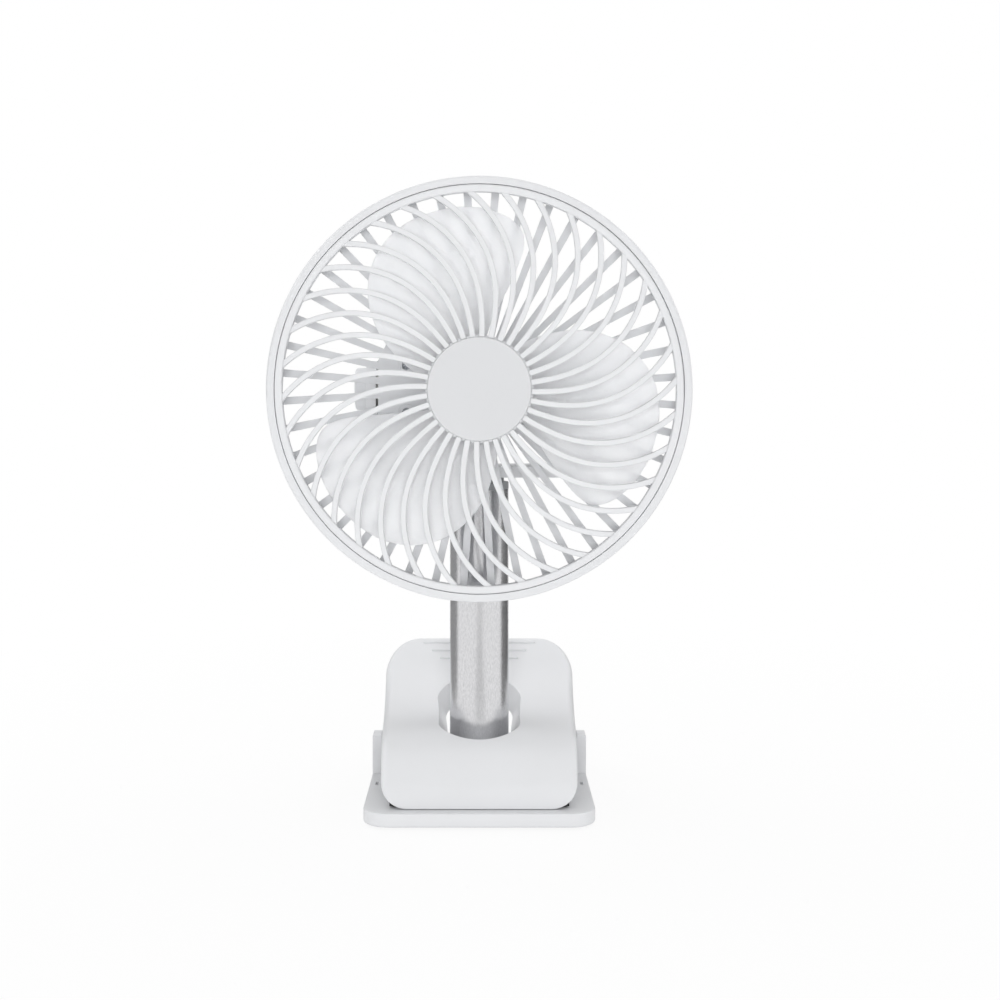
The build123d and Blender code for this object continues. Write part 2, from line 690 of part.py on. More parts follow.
# ------------------------------------------------------------ rear grille
# One moulding: the outer ring, 44 straight spokes and the front half of the
# motor housing. The ring has a ledge inside its mouth, where the rim of the
# front grille sits. One spoke is drawn along X, with the fan axis as Z, and
# widens towards the ring.
LEDGE_FRONT = RIM_FRONT - RIM_FACE - SEAT
with BuildPart() as rear_spoke:
    with BuildSketch(Plane.XZ):
        with BuildLine():
            Polyline(
                (MOTOR_R, HOUSING_FRONT - REAR_RIB_THICK),
                (HOUSING_HALF + 4.0, HOUSING_FRONT - REAR_RIB_THICK),
                (FLANGE_R + 1.0, RING_BACK),
                (FLANGE_R + 1.0, RING_BACK + REAR_RIB_THICK),
                (HOUSING_HALF + 4.0, HOUSING_FRONT),
                (MOTOR_R, HOUSING_FRONT),
                close=True,
            )
        make_face()
    extrude(amount=REAR_RIB_TIP, both=True)
    with BuildSketch(Plane.XY):
        Polygon(
            (0, REAR_RIB_WIDE / 2),
            (0, -REAR_RIB_WIDE / 2),
            (RING_R, -REAR_RIB_TIP / 2),
            (RING_R, REAR_RIB_TIP / 2),
            align=None,
        )
    extrude(amount=RING_FRONT, both=True, mode=Mode.INTERSECT)

with BuildPart(ahead(0)) as rear_grille:
    with BuildSketch(FAN_SIDE):
        with BuildLine():
            Polyline(
                (RING_BACK, FLANGE_R),
                (RING_BACK, RING_R),
                (RING_FRONT, RING_R),
                (RING_FRONT, RIM_R + RIM_SEAM),
                (LEDGE_FRONT, RIM_R + RIM_SEAM),
                (LEDGE_FRONT, FLANGE_R),
                (LEDGE_FRONT - FLANGE_THICK, FLANGE_R),
                (LEDGE_FRONT - FLANGE_THICK, RING_R - RING_WALL),
                (RING_BACK + FLANGE_THICK, RING_R - RING_WALL),
                (RING_BACK + FLANGE_THICK, FLANGE_R),
                close=True,
            )
        make_face()
    revolve(axis=FAN_AXIS)
    outer_edges = rear_grille.edges().filter_by(
        lambda edge: abs(edge.radius - RING_R) < 0.01 if edge.geom_type == GeomType.CIRCLE else False
    )
    fillet(outer_edges, 1.0)
    with PolarLocations(0, REAR_RIBS, start_angle=REAR_RIB_TURN):
        add(rear_spoke.part)
    with BuildSketch(ahead(HOUSING_SPLIT)):
        Polygon(*housing_outline(), align=None)
    extrude(amount=HOUSING_FRONT - HOUSING_SPLIT)
    with BuildSketch(ahead(HOUSING_SPLIT)):
        Polygon(*housing_outline(HOUSING_WALL), align=None)
    extrude(amount=HOUSING_FRONT - HOUSING_SPLIT - HOUSING_WALL, mode=Mode.SUBTRACT)
    # screw bosses, with the holes that open to the front
    with BuildSketch(ahead(HOUSING_SPLIT)):
        with Locations(*SCREW_SPOTS):
            Circle(POST_R)
    extrude(amount=HOUSING_FRONT - HOUSING_SPLIT + 0.8)
    with BuildSketch(ahead(HOUSING_SPLIT)):
        with Locations(*SCREW_SPOTS):
            Circle(HOUSING_SCREW_R + SEAT)
    extrude(amount=2 * HOUSING_FRONT, mode=Mode.SUBTRACT)
    with BuildSketch(ahead(HOUSING_SPLIT + 2.0)):
        with Locations(*SCREW_SPOTS):
            Circle(HOUSING_HEAD_R + SEAT)
    extrude(amount=2 * HOUSING_FRONT, mode=Mode.SUBTRACT)
    # the nose of the motor comes through the middle
    with BuildSketch(ahead(0)):
        Circle(MOTOR_NOSE_R + SEAT)
    extrude(amount=2 * HOUSING_FRONT, mode=Mode.SUBTRACT)
rear_grille.part.label = "rear_grille"
export_step(rear_grille.part, "parts/rear_grille.step")

# ------------------------------------------------------------ rear cover
COVER_INSIDE = HOUSING_BACK - HOUSING_WALL
BOARD_POST_X = 27.0
with BuildPart() as rear_cover:
    with BuildSketch(ahead(-HOUSING_BACK)):
        Polygon(*housing_outline(), align=None)
    extrude(amount=HOUSING_BACK + HOUSING_SPLIT)
    fillet(rear_cover.edges().group_by(Axis.Y)[-1], COVER_ROUND)
    with BuildSketch(ahead(-COVER_INSIDE)):
        Polygon(*housing_outline(HOUSING_WALL), align=None)
    extrude(amount=COVER_INSIDE + HOUSING_SPLIT, mode=Mode.SUBTRACT)
    with BuildSketch(ahead(-COVER_INSIDE)):
        with Locations(*SCREW_SPOTS):
            Circle(POST_R)
    extrude(amount=COVER_INSIDE + HOUSING_SPLIT)
    with BuildSketch(ahead(HOUSING_SPLIT)):
        with Locations(*SCREW_SPOTS):
            Circle(HOUSING_SCREW_R)
    extrude(amount=-9.0, mode=Mode.SUBTRACT)
    # posts of the control board
    with BuildSketch(ahead(-COVER_INSIDE)):
        with Locations((-BOARD_POST_X, 0), (BOARD_POST_X, 0)):
            Circle(2.4)
    extrude(amount=COVER_INSIDE - BOARD_BACK)
    with BuildSketch(ahead(-BOARD_BACK)):
        with Locations((-BOARD_POST_X, 0), (BOARD_POST_X, 0)):
            Circle(BASE_SCREW_R)
    extrude(amount=-4.0, mode=Mode.SUBTRACT)
    # bosses for the pivot screws
    for side in pivot_sides:
        with Locations((side * (HOUSING_HALF - HOUSING_WALL / 2 - PIVOT_BOSS / 2), 0, PIVOT_Z)):
            Cylinder(PIVOT_BOSS_R, PIVOT_BOSS, rotation=(0, 90, 0))
        with Locations((side * HOUSING_HALF, 0, PIVOT_Z)):
            Cylinder(
                PIVOT_R + RUN / 3, 2 * (PIVOT_DEEP + SEAT), rotation=(0, 90, 0), mode=Mode.SUBTRACT
            )
    # openings in the back for the button, the charging socket and the light
    with BuildSketch(ahead(-HOUSING_BACK)):
        Circle(BUTTON_R + FREE)
        with Locations((USB_X, 0)):
            SlotOverall(USB_WIDE + 2 * SEAT, USB_HIGH + 2 * SEAT)
        with Locations((LIGHT_X, 0)):
            SlotOverall(LIGHT_WIDE + 2 * SEAT, LIGHT_HIGH + 2 * SEAT)
    extrude(amount=HOUSING_WALL, mode=Mode.SUBTRACT)
rear_cover.part.label = "rear_cover"
export_step(rear_cover.part, "parts/rear_cover.step")

with BuildPart(ahead(0)) as housing_screws:
    with BuildSketch(ahead(HOUSING_SPLIT + 2.0)):
        with Locations(*SCREW_SPOTS):
            Circle(HOUSING_HEAD_R)
    extrude(amount=HOUSING_HEAD)
    with BuildSketch(ahead(HOUSING_SPLIT + 2.0)):
        with Locations(*SCREW_SPOTS):
            Circle(HOUSING_SCREW_R - RUN / 3)
    extrude(amount=-10.0)
    with BuildSketch(ahead(HOUSING_SPLIT + 2.0 + HOUSING_HEAD)):
        with Locations(*SCREW_SPOTS):
            Rectangle(CROSS_LONG, CROSS_WIDE)
            Rectangle(CROSS_WIDE, CROSS_LONG)
    extrude(amount=-CROSS_DEEP, mode=Mode.SUBTRACT)
housing_screws.part.label = "housing_screws"
export_step(housing_screws.part, "parts/housing_screws.step")

# ============================================================ electronics
BOARD_FRONT = BOARD_BACK - BOARD_THICK
with BuildPart(ahead(-BOARD_BACK)) as control_board:
    with BuildSketch(ahead(-BOARD_BACK)):
        RectangleRounded(BOARD_WIDE, BOARD_HIGH, 1.5)
        with Locations((-BOARD_POST_X, 0), (BOARD_POST_X, 0)):
            Circle(BASE_SCREW_R + SEAT, mode=Mode.SUBTRACT)
        with Locations(*SCREW_SPOTS):
            Circle(POST_R + SEAT, mode=Mode.SUBTRACT)
    extrude(amount=BOARD_THICK)
control_board.part.label = "control_board"
export_step(control_board.part, "parts/control_board.step")

with BuildPart(ahead(-BOARD_FRONT)) as board_screws:
    with BuildSketch(ahead(-BOARD_FRONT)):
        with Locations((-BOARD_POST_X, 0), (BOARD_POST_X, 0)):
            Circle(2 * BASE_SCREW_R)
    extrude(amount=1.2)
    with BuildSketch(ahead(-BOARD_FRONT)):
        with Locations((-BOARD_POST_X, 0), (BOARD_POST_X, 0)):
            Circle(BASE_SCREW_R - RUN / 3)
    extrude(amount=-4.5)
board_screws.part.label = "board_screws"
export_step(board_screws.part, "parts/board_screws.step")

# The button slides in the cover. Its flange keeps it in, and it stands clear
# of the switch behind it by its travel and a little more.
BUTTON_FLANGE = 1.0
SWITCH_BODY = 1.6
SWITCH_TIP = COVER_INSIDE - BUTTON_FLANGE - SEAT - BUTTON_TRAVEL - SEAT
with BuildPart() as power_button:
    with BuildSketch(ahead(-(HOUSING_BACK + BUTTON_PROUD))):
        Circle(BUTTON_R)
    extrude(amount=BUTTON_PROUD + HOUSING_WALL + SEAT)
    fillet(power_button.edges().group_by(Axis.Y)[-1], 0.5)
    with BuildSketch(ahead(-(COVER_INSIDE - SEAT))):
        Circle(BUTTON_R + 1.0)
    extrude(amount=BUTTON_FLANGE)
power_button.part.label = "power_button"
export_step(power_button.part, "parts/power_button.step")

with BuildPart() as tact_switch:
    with BuildSketch(ahead(-BOARD_BACK)):
        RectangleRounded(6.0, 6.0, 0.4)
    extrude(amount=-SWITCH_BODY)
    with BuildSketch(ahead(-BOARD_BACK)):
        Circle(1.6)
    extrude(amount=-(SWITCH_TIP - BOARD_BACK))
tact_switch.part.label = "tact_switch"
export_step(tact_switch.part, "parts/tact_switch.step")

# The charging socket is a metal shell with a tongue in it.
USB_MOUTH = HOUSING_BACK - 0.4
with BuildPart() as usb_socket:
    with BuildSketch(ahead(-BOARD_BACK)):
        with Locations((USB_X, 0)):
            SlotOverall(USB_WIDE, USB_HIGH)
    extrude(amount=-(USB_MOUTH - BOARD_BACK))
    with BuildSketch(ahead(-(BOARD_BACK + 1.0))):
        with Locations((USB_X, 0)):
            SlotOverall(USB_WIDE - 2 * USB_WALL, USB_HIGH - 2 * USB_WALL)
    extrude(amount=-(USB_MOUTH - BOARD_BACK), mode=Mode.SUBTRACT)
    with BuildSketch(ahead(-(BOARD_BACK + 0.5))):
        with Locations((USB_X, 0)):
            Rectangle(USB_WIDE - USB_HIGH, 0.7)
    extrude(amount=-(USB_MOUTH - BOARD_BACK - 1.0))
usb_socket.part.label = "usb_socket"
export_step(usb_socket.part, "parts/usb_socket.step")

with BuildPart() as status_light:
    with BuildSketch(ahead(-BOARD_BACK)):
        with Locations((LIGHT_X, 0)):
            SlotOverall(LIGHT_WIDE, LIGHT_HIGH)
    extrude(amount=-(HOUSING_BACK - BOARD_BACK + 0.1))
status_light.part.label = "status_light"
export_step(status_light.part, "parts/status_light.step")

# ============================================================ motor
# Everything here is turned about the fan axis, so each piece is a revolved
# profile: x runs forward and y is the radius.
CAN_FRONT = HOUSING_FRONT - HOUSING_WALL - SEAT
NOSE_FRONT = CAN_FRONT + MOTOR_NOSE
END_CAP = 1.4

with BuildPart() as motor_can:
    with BuildSketch(FAN_SIDE):
        Polygon(
            (-MOTOR_BACK + END_CAP, MOTOR_R),
            (CAN_FRONT, MOTOR_R),
            (CAN_FRONT, MOTOR_NOSE_R),
            (NOSE_FRONT, MOTOR_NOSE_R),
            (NOSE_FRONT, BUSH_R + RUN / 3),
            (CAN_FRONT - MOTOR_WALL, BUSH_R + RUN / 3),
            (CAN_FRONT - MOTOR_WALL, MOTOR_R - MOTOR_WALL),
            (-MOTOR_BACK + END_CAP, MOTOR_R - MOTOR_WALL),
            align=None,
        )
    revolve(axis=FAN_AXIS)
motor_can.part.label = "motor_can"
export_step(motor_can.part, "parts/motor_can.step")

with BuildPart() as motor_end_cap:
    with BuildSketch(FAN_SIDE):
        Polygon(
            (-MOTOR_BACK, MOTOR_R),
            (-MOTOR_BACK + END_CAP, MOTOR_R),
            (-MOTOR_BACK + END_CAP, BUSH_R + RUN / 3),
            (-MOTOR_BACK - 1.6, BUSH_R + RUN / 3),
            (-MOTOR_BACK - 1.6, MOTOR_NOSE_R),
            (-MOTOR_BACK, MOTOR_NOSE_R),
            align=None,
        )
    revolve(axis=FAN_AXIS)
motor_end_cap.part.label = "motor_end_cap"
export_step(motor_end_cap.part, "parts/motor_end_cap.step")

with BuildPart() as motor_bush_front:
    with BuildSketch(FAN_SIDE):
        Polygon(
            (NOSE_FRONT, SHAFT_R + RUN / 2),
            (NOSE_FRONT, BUSH_R),
            (NOSE_FRONT - BUSH_LONG, BUSH_R),
            (NOSE_FRONT - BUSH_LONG, SHAFT_R + RUN / 2),
            align=None,
        )
    revolve(axis=FAN_AXIS)
motor_bush_front.part.label = "motor_bush_front"
export_step(motor_bush_front.part, "parts/motor_bush_front.step")

with BuildPart() as motor_bush_rear:
    with BuildSketch(FAN_SIDE):
        Polygon(
            (-MOTOR_BACK - 1.6, SHAFT_R + RUN / 2),
            (-MOTOR_BACK - 1.6, BUSH_R),
            (-MOTOR_BACK - 1.6 + BUSH_LONG, BUSH_R),
            (-MOTOR_BACK - 1.6 + BUSH_LONG, SHAFT_R + RUN / 2),
            align=None,
        )
    revolve(axis=FAN_AXIS)
motor_bush_rear.part.label = "motor_bush_rear"
export_step(motor_bush_rear.part, "parts/motor_bush_rear.step")

MAGNET_OUTER = MOTOR_R - MOTOR_WALL
MAGNET_INNER = MAGNET_OUTER - MAGNET_THICK
MAGNET_BACK = -MOTOR_BACK + END_CAP + 1.5
MAGNET_FRONT = CAN_FRONT - MOTOR_WALL - 1.5
with BuildPart() as motor_magnets:
    with BuildSketch(FAN_SIDE):
        Polygon(
            (MAGNET_BACK, MAGNET_INNER),
            (MAGNET_BACK, MAGNET_OUTER - RUN / 3),
            (MAGNET_FRONT, MAGNET_OUTER - RUN / 3),
            (MAGNET_FRONT, MAGNET_INNER),
            align=None,
        )
    revolve(axis=FAN_AXIS)
    # two shells, with a gap at each side
    with BuildSketch(ahead(MAGNET_BACK)):
        Rectangle(2.5 * MOTOR_R, 5.0)
    extrude(amount=MAGNET_FRONT - MAGNET_BACK, mode=Mode.SUBTRACT)
motor_magnets.part.label = "motor_magnets"
export_step(motor_magnets.part, "parts/motor_magnets.step")

# Laminated core with three poles and the windings between them
ROTOR_R = MAGNET_INNER - AIR_GAP
ROTOR_BACK = MAGNET_BACK + 1.0
ROTOR_FRONT = MAGNET_FRONT - 1.0
POLE_WIDE = 4.4
with BuildPart(ahead(0)) as motor_rotor:
    with BuildSketch(ahead(ROTOR_BACK)):
        Circle(ROTOR_R)
        Circle(ROTOR_R - 1.6, mode=Mode.SUBTRACT)
        with PolarLocations(ROTOR_R, 3, start_angle=60):
            Rectangle(3.0, 3.0, mode=Mode.SUBTRACT)
        with PolarLocations(ROTOR_R / 2, 3):
            Rectangle(ROTOR_R, POLE_WIDE)
        Circle(3.4)
        Circle(SHAFT_R + 0.01, mode=Mode.SUBTRACT)
    extrude(amount=ROTOR_FRONT - ROTOR_BACK)
motor_rotor.part.label = "motor_rotor"
export_step(motor_rotor.part, "parts/motor_rotor.step")

SHAFT_BACK = -MOTOR_BACK - 1.6
SHAFT_FRONT = HUB_FRONT - HUB_WALL - 0.5
with BuildPart() as motor_shaft:
    with BuildSketch(ahead(SHAFT_BACK)):
        Circle(SHAFT_R)
    extrude(amount=SHAFT_FRONT - SHAFT_BACK)
motor_shaft.part.label = "motor_shaft"
export_step(motor_shaft.part, "parts/motor_shaft.step")


# ============================================================ impeller
# Three broad blades on a cup. Each blade is a twisted, slightly hollow sheet
# trimmed to its outline. The leading edge lies at the back, near the spokes,
# and the fan turns clockwise seen from the front.
def polar(radius, angle):
    """Point at this radius and angle from the fan axis."""
    return (radius * cos(radians(angle)), radius * sin(radians(angle)))


BLADE_OUTLINE = [
    polar(0.90 * HUB_R, -28),
    polar(0.45 * TIP_R, -35),
    polar(0.70 * TIP_R, -39.5),
    polar(0.89 * TIP_R, -37.5),
    polar(0.98 * TIP_R, -26),
    polar(TIP_R, -10),
    polar(0.975 * TIP_R, 5),
    polar(0.90 * TIP_R, 17.5),
    polar(0.80 * TIP_R, 27),
    polar(0.60 * TIP_R, 40),
    polar(0.42 * TIP_R, 50),
    polar(0.90 * HUB_R, 75),
]


# How far out each section lies, where its leading and trailing edges are across
# the blade, their distances in front of the tilt axis, and how hollow it is.
BLADE_SECTIONS = [
    (0.55 * HUB_R, (-14.0, 18.6), (26.0, 31.5), 1.0),
    (0.55 * TIP_R, (-38.0, 18.8), (38.0, 31.0), 2.2),
    (1.02 * TIP_R, (-52.0, 20.2), (38.0, 30.0), 1.8),
]
with BuildPart() as blade:
    for reach, lead, trail, hollow in BLADE_SECTIONS:
        with BuildSketch(Plane(origin=(reach, 0, 0), x_dir=(0, 1, 0), z_dir=(1, 0, 0))):
            with BuildLine():
                middle = ((lead[0] + trail[0]) / 2, (lead[1] + trail[1]) / 2 - hollow)
                back = ThreePointArc(lead, middle, trail)
                rise = Vector(0, BLADE_THICK)
                Line(back @ 1, (back @ 1) + rise)
                ThreePointArc((back @ 1) + rise, (back @ 0.5) + rise, (back @ 0) + rise)
                Line((back @ 0) + rise, back @ 0)
            make_face()
    loft()
    with BuildSketch(Plane.XY):
        with BuildLine():
            edge = Spline(*BLADE_OUTLINE)
            Line(edge @ 1, edge @ 0)
        make_face()
    extrude(amount=2 * RING_FRONT, mode=Mode.INTERSECT)
    Cylinder(HUB_R - HUB_WALL / 2, 4 * RING_FRONT, mode=Mode.SUBTRACT)

with BuildPart(ahead(0)) as impeller:
    with BuildSketch(FAN_SIDE):
        Polygon(
            (HUB_BACK, HUB_R),
            (HUB_FRONT, HUB_R),
            (HUB_FRONT, SHAFT_R + 0.01),
            (HUB_BACK, SHAFT_R + 0.01),
            (HUB_BACK, HUB_BOSS_R),
            (HUB_FRONT - HUB_WALL, HUB_BOSS_R),
            (HUB_FRONT - HUB_WALL, HUB_R - HUB_WALL),
            (HUB_BACK, HUB_R - HUB_WALL),
            align=None,
        )
    revolve(axis=FAN_AXIS)
    with PolarLocations(0, BLADES, start_angle=BLADE_START):
        add(blade.part)
impeller.part.label = "impeller"
export_step(impeller.part, "parts/impeller.step")

# ============================================================ front grille
# One swept rib is drawn in a frame where the fan axis is Z, and cut from a
# shallow dome. It leaves the hub straight and bends round as it nears the rim.
RIB_START = RIB_ROOT_R - 4.0
RIB_END = RIM_INNER + 1.0
RIB_POINTS = 6


def rib_side(side):
    """Points along one side of the front rib."""
    points = []
    for step in range(RIB_POINTS):
        radius = RIB_START + (RIB_END - RIB_START) * step / (RIB_POINTS - 1)
        run = max(radius - RIB_ROOT_R, 0) / (RIM_INNER - RIB_ROOT_R)
        angle = radians(RIB_SWEEP * run**RIB_BEND)
        slope = radians(RIB_SWEEP * RIB_BEND * run ** (RIB_BEND - 1)) / (RIM_INNER - RIB_ROOT_R)
        lean = angle + atan2(radius * slope, 1)
        half = side * FRONT_RIB_WIDE / 2
        points.append((radius * cos(angle) - half * sin(lean), radius * sin(angle) + half * cos(lean)))
    return points


with BuildPart() as dome:
    with BuildSketch(Plane.XZ):
        with BuildLine():
            top = ThreePointArc(
                (0, DOME_FRONT + 0.4),
                (RIM_INNER / 2, DOME_FRONT - (DOME_FRONT - DOME_EDGE) / 4),
                (RIM_INNER + 2, DOME_EDGE - 0.2),
            )
            Line(top @ 1, (top @ 1) - Vector(0, FRONT_RIB_DEEP))
            ThreePointArc(
                (top @ 1) - Vector(0, FRONT_RIB_DEEP),
                (top @ 0.5) - Vector(0, FRONT_RIB_DEEP),
                (top @ 0) - Vector(0, FRONT_RIB_DEEP),
            )
            Line((top @ 0) - Vector(0, FRONT_RIB_DEEP), top @ 0)
        make_face()
    revolve(axis=Axis.Z)

with BuildPart() as front_rib:
    with BuildSketch(Plane.XY.offset(DOME_EDGE - 2 * FRONT_RIB_DEEP)):
        with BuildLine():
            left = Spline(*rib_side(1))
            right = Spline(*rib_side(-1))
            Line(left @ 0, right @ 0)
            Line(left @ 1, right @ 1)
        make_face()
    extrude(amount=4 * FRONT_RIB_DEEP)
    add(dome.part, mode=Mode.INTERSECT)

CAP_SEAT = CAP_FRONT - CAP_THICK
DISH_BACK = CAP_SEAT - 2.8
DISH_EDGE = 1.0
STUD_R = 3.0
with BuildPart(ahead(0)) as front_grille:
    with BuildSketch(FAN_SIDE):
        Polygon(
            (RIM_FRONT - RIM_FACE, RIM_INNER),
            (RIM_FRONT, RIM_INNER),
            (RIM_FRONT, RIM_R),
            (RIM_FRONT - RIM_FACE, RIM_R),
            align=None,
        )
    revolve(axis=FAN_AXIS)
    rim_edges = front_grille.edges().filter_by(GeomType.CIRCLE).group_by(Axis.Y)[0]
    fillet(rim_edges, RIM_ROUND)
    # the hub is a thin dish behind the cap, and the ribs grow out of its edge
    with BuildSketch(FAN_SIDE):
        Polygon(
            (DISH_BACK, STUD_R + SEAT),
            (DISH_BACK, CAP_R - DISH_EDGE),
            (DISH_BACK + DISH_EDGE, RIB_ROOT_R),
            (CAP_SEAT - DISH_EDGE / 2, RIB_ROOT_R),
            (CAP_SEAT, CAP_R),
            (CAP_SEAT, STUD_R + SEAT),
            align=None,
        )
    revolve(axis=FAN_AXIS)
    with PolarLocations(0, FRONT_RIBS, start_angle=FRONT_RIB_TURN):
        add(front_rib.part)
    # the shallow seat of the cap
    with BuildSketch(ahead(CAP_SEAT)):
        Circle(CAP_R + SEAT)
    extrude(amount=CAP_THICK, mode=Mode.SUBTRACT)
front_grille.part.label = "front_grille"
export_step(front_grille.part, "parts/front_grille.step")

with BuildPart() as front_cap:
    with BuildSketch(ahead(CAP_SEAT)):
        Circle(CAP_R)
    extrude(amount=CAP_THICK)
    fillet(front_cap.edges().group_by(Axis.Y)[0], 0.5)
    with BuildSketch(ahead(CAP_SEAT)):
        Circle(STUD_R)
    extrude(amount=-2.4)
front_cap.part.label = "front_cap"
export_step(front_cap.part, "parts/front_cap.step")

# ============================================================ clip lever
# The upper jaw and its handle are one S-shaped shell. Its outline from the
# side is a smooth curve over these points, back from the pole axis and up
# from the plate.
LEVER_TOP = [
    (HANDLE_REACH, HANDLE_HIGH),
    (42.0, 37.3),
    (25.0, 30.9),
    (0.0, 27.5),
    (-22.0, 25.3),
    (-31.0, 20.0),
    (-36.8, 12.0),
    (-LIP_REACH, LIP_GAP),
]
LEVER_WIDE = 4 * PLATE_HALF
LEVER_STEPS = 16
LEVER_ENDS = [(-1, -0.62), (-0.06, -1)]
LEVER_LEFT = LEVER_SIDE.offset(-LEVER_WIDE / 2)


def lever_outline(inset=0.0):
    """Corners of the lever from above: wider at the handle than at the lip."""
    front = LEVER_FRONT_HALF - inset
    back = LEVER_BACK_HALF - inset
    reach = HANDLE_REACH - inset
    lip = LIP_REACH + SEAT
    return [(-front, -lip), (front, -lip), (back, reach), (-back, reach)]


def below_top(line, depth):
    """Points that lie `depth` square below the lever's top line."""
    places = [step / LEVER_STEPS for step in range(LEVER_STEPS + 1)]
    return [line @ place + (line % place).rotate(Axis.Z, 90) * depth for place in places]


# The band is as deep as the skirts. What reaches down from the shell is cut from it.
with BuildPart() as lever_band:
    with BuildSketch(LEVER_LEFT):
        with BuildLine():
            top = Spline(*LEVER_TOP, tangents=LEVER_ENDS)
            under = Spline(*below_top(top, LEVER_SKIRT), tangents=LEVER_ENDS)
            Line(top @ 0, under @ 0)
            Line(top @ 1, under @ 1)
        make_face()
    extrude(amount=LEVER_WIDE)
    with BuildSketch(Plane.XY.offset(PLATE_TOP + LIP_GAP)):
        Rectangle(LEVER_WIDE, 4 * HANDLE_REACH)
    extrude(amount=4 * HANDLE_HIGH, mode=Mode.INTERSECT)

with BuildPart() as lever_hollow:
    with BuildSketch(LEVER_LEFT):
        with BuildLine():
            top = Spline(*LEVER_TOP, tangents=LEVER_ENDS, mode=Mode.PRIVATE)
            inner = Spline(*below_top(top, LEVER_SHELL), tangents=LEVER_ENDS)
            Polyline(
                inner @ 0, ((inner @ 0).X, -PLATE_FRONT), ((inner @ 1).X, -PLATE_FRONT), inner @ 1
            )
        make_face()
    extrude(amount=LEVER_WIDE)
    with BuildSketch(Plane.XY.offset(-PLATE_FRONT)):
        Polygon(*lever_outline(LEVER_SHELL), align=None)
        handle_corners = vertices().group_by(Axis.Y)[-1]
        fillet(handle_corners, LEVER_REAR_CORNER - LEVER_SHELL)
    extrude(amount=4 * HANDLE_HIGH, mode=Mode.INTERSECT)

# The slot round the pole lies in a plane along the top. It narrows downwards, and
# a little towards the front.
SLOT_MID = (SLOT_BACK - SLOT_FRONT) / 2
SLOT_LONG = (SLOT_BACK + SLOT_FRONT) / cos(radians(SLOT_TILT))
SLOT_UP = 28.6
SLOT_OVER = 5.0
SLOT_FLARE = SLOT_OVER * tan(radians(SLOT_DRAFT))
SLOT_FRONT_Y = SLOT_FRONT_HALF - SLOT_LONG / 2
SLOT_BACK_Y = SLOT_LONG / 2 - SLOT_BACK_HALF
SLOT_PLANE = Plane(
    origin=(0, SLOT_MID, PLATE_TOP + SLOT_UP),
    x_dir=(1, 0, 0),
    z_dir=(0, -sin(radians(SLOT_TILT)), cos(radians(SLOT_TILT))),
)
with BuildPart() as slot_cutter:
    with BuildSketch(SLOT_PLANE.offset(SLOT_OVER)):
        with Locations((0, SLOT_FRONT_Y)):
            Circle(SLOT_FRONT_HALF + SLOT_FLARE)
        with Locations((0, SLOT_BACK_Y)):
            Circle(SLOT_BACK_HALF + SLOT_FLARE)
        make_hull()
    extrude(amount=-(2 * SLOT_OVER + LEVER_SKIRT), taper=SLOT_DRAFT)

with BuildPart() as slot_collar:
    with BuildSketch(SLOT_PLANE.offset(SLOT_OVER)):
        with Locations((0, SLOT_FRONT_Y)):
            Circle(SLOT_FRONT_HALF + SLOT_FLARE + SLOT_WALL)
        with Locations((0, SLOT_BACK_Y)):
            Circle(SLOT_BACK_HALF + SLOT_FLARE + SLOT_WALL)
        make_hull()
    extrude(amount=-(2 * SLOT_OVER + LEVER_SKIRT), taper=SLOT_DRAFT)
    add(lever_band.part, mode=Mode.INTERSECT)

# Stiffening ribs run along the inside, and stop at the collar of the slot.
RIB_X = 24.0
RIB_REACH = HANDLE_REACH - 2 * LEVER_ROUND
with BuildPart() as lever_ribs:
    with BuildSketch(Plane.XY):
        with GridLocations(2 * RIB_X, 0, 2, 1):
            Rectangle(RIB_THICK, 2 * RIB_REACH)
        with Locations((0, (SLOT_BACK + RIB_REACH) / 2)):
            Rectangle(RIB_THICK, RIB_REACH - SLOT_BACK)
    extrude(amount=4 * HANDLE_HIGH)
    add(lever_band.part, mode=Mode.INTERSECT)

with BuildPart() as front_corners:
    with BuildSketch(Plane.XZ.offset(LIP_REACH / 2)):
        with Locations((0, PLATE_TOP)):
            Rectangle(LEVER_WIDE, 2 * (LIP_GAP + LEVER_FRONT_CORNER))
        with Locations((0, PLATE_TOP + LIP_GAP + 2 * LEVER_FRONT_CORNER)):
            RectangleRounded(
                2 * LEVER_FRONT_HALF + 0.2,
                4 * LEVER_FRONT_CORNER,
                LEVER_FRONT_CORNER,
                mode=Mode.SUBTRACT,
            )
    extrude(amount=LIP_REACH)

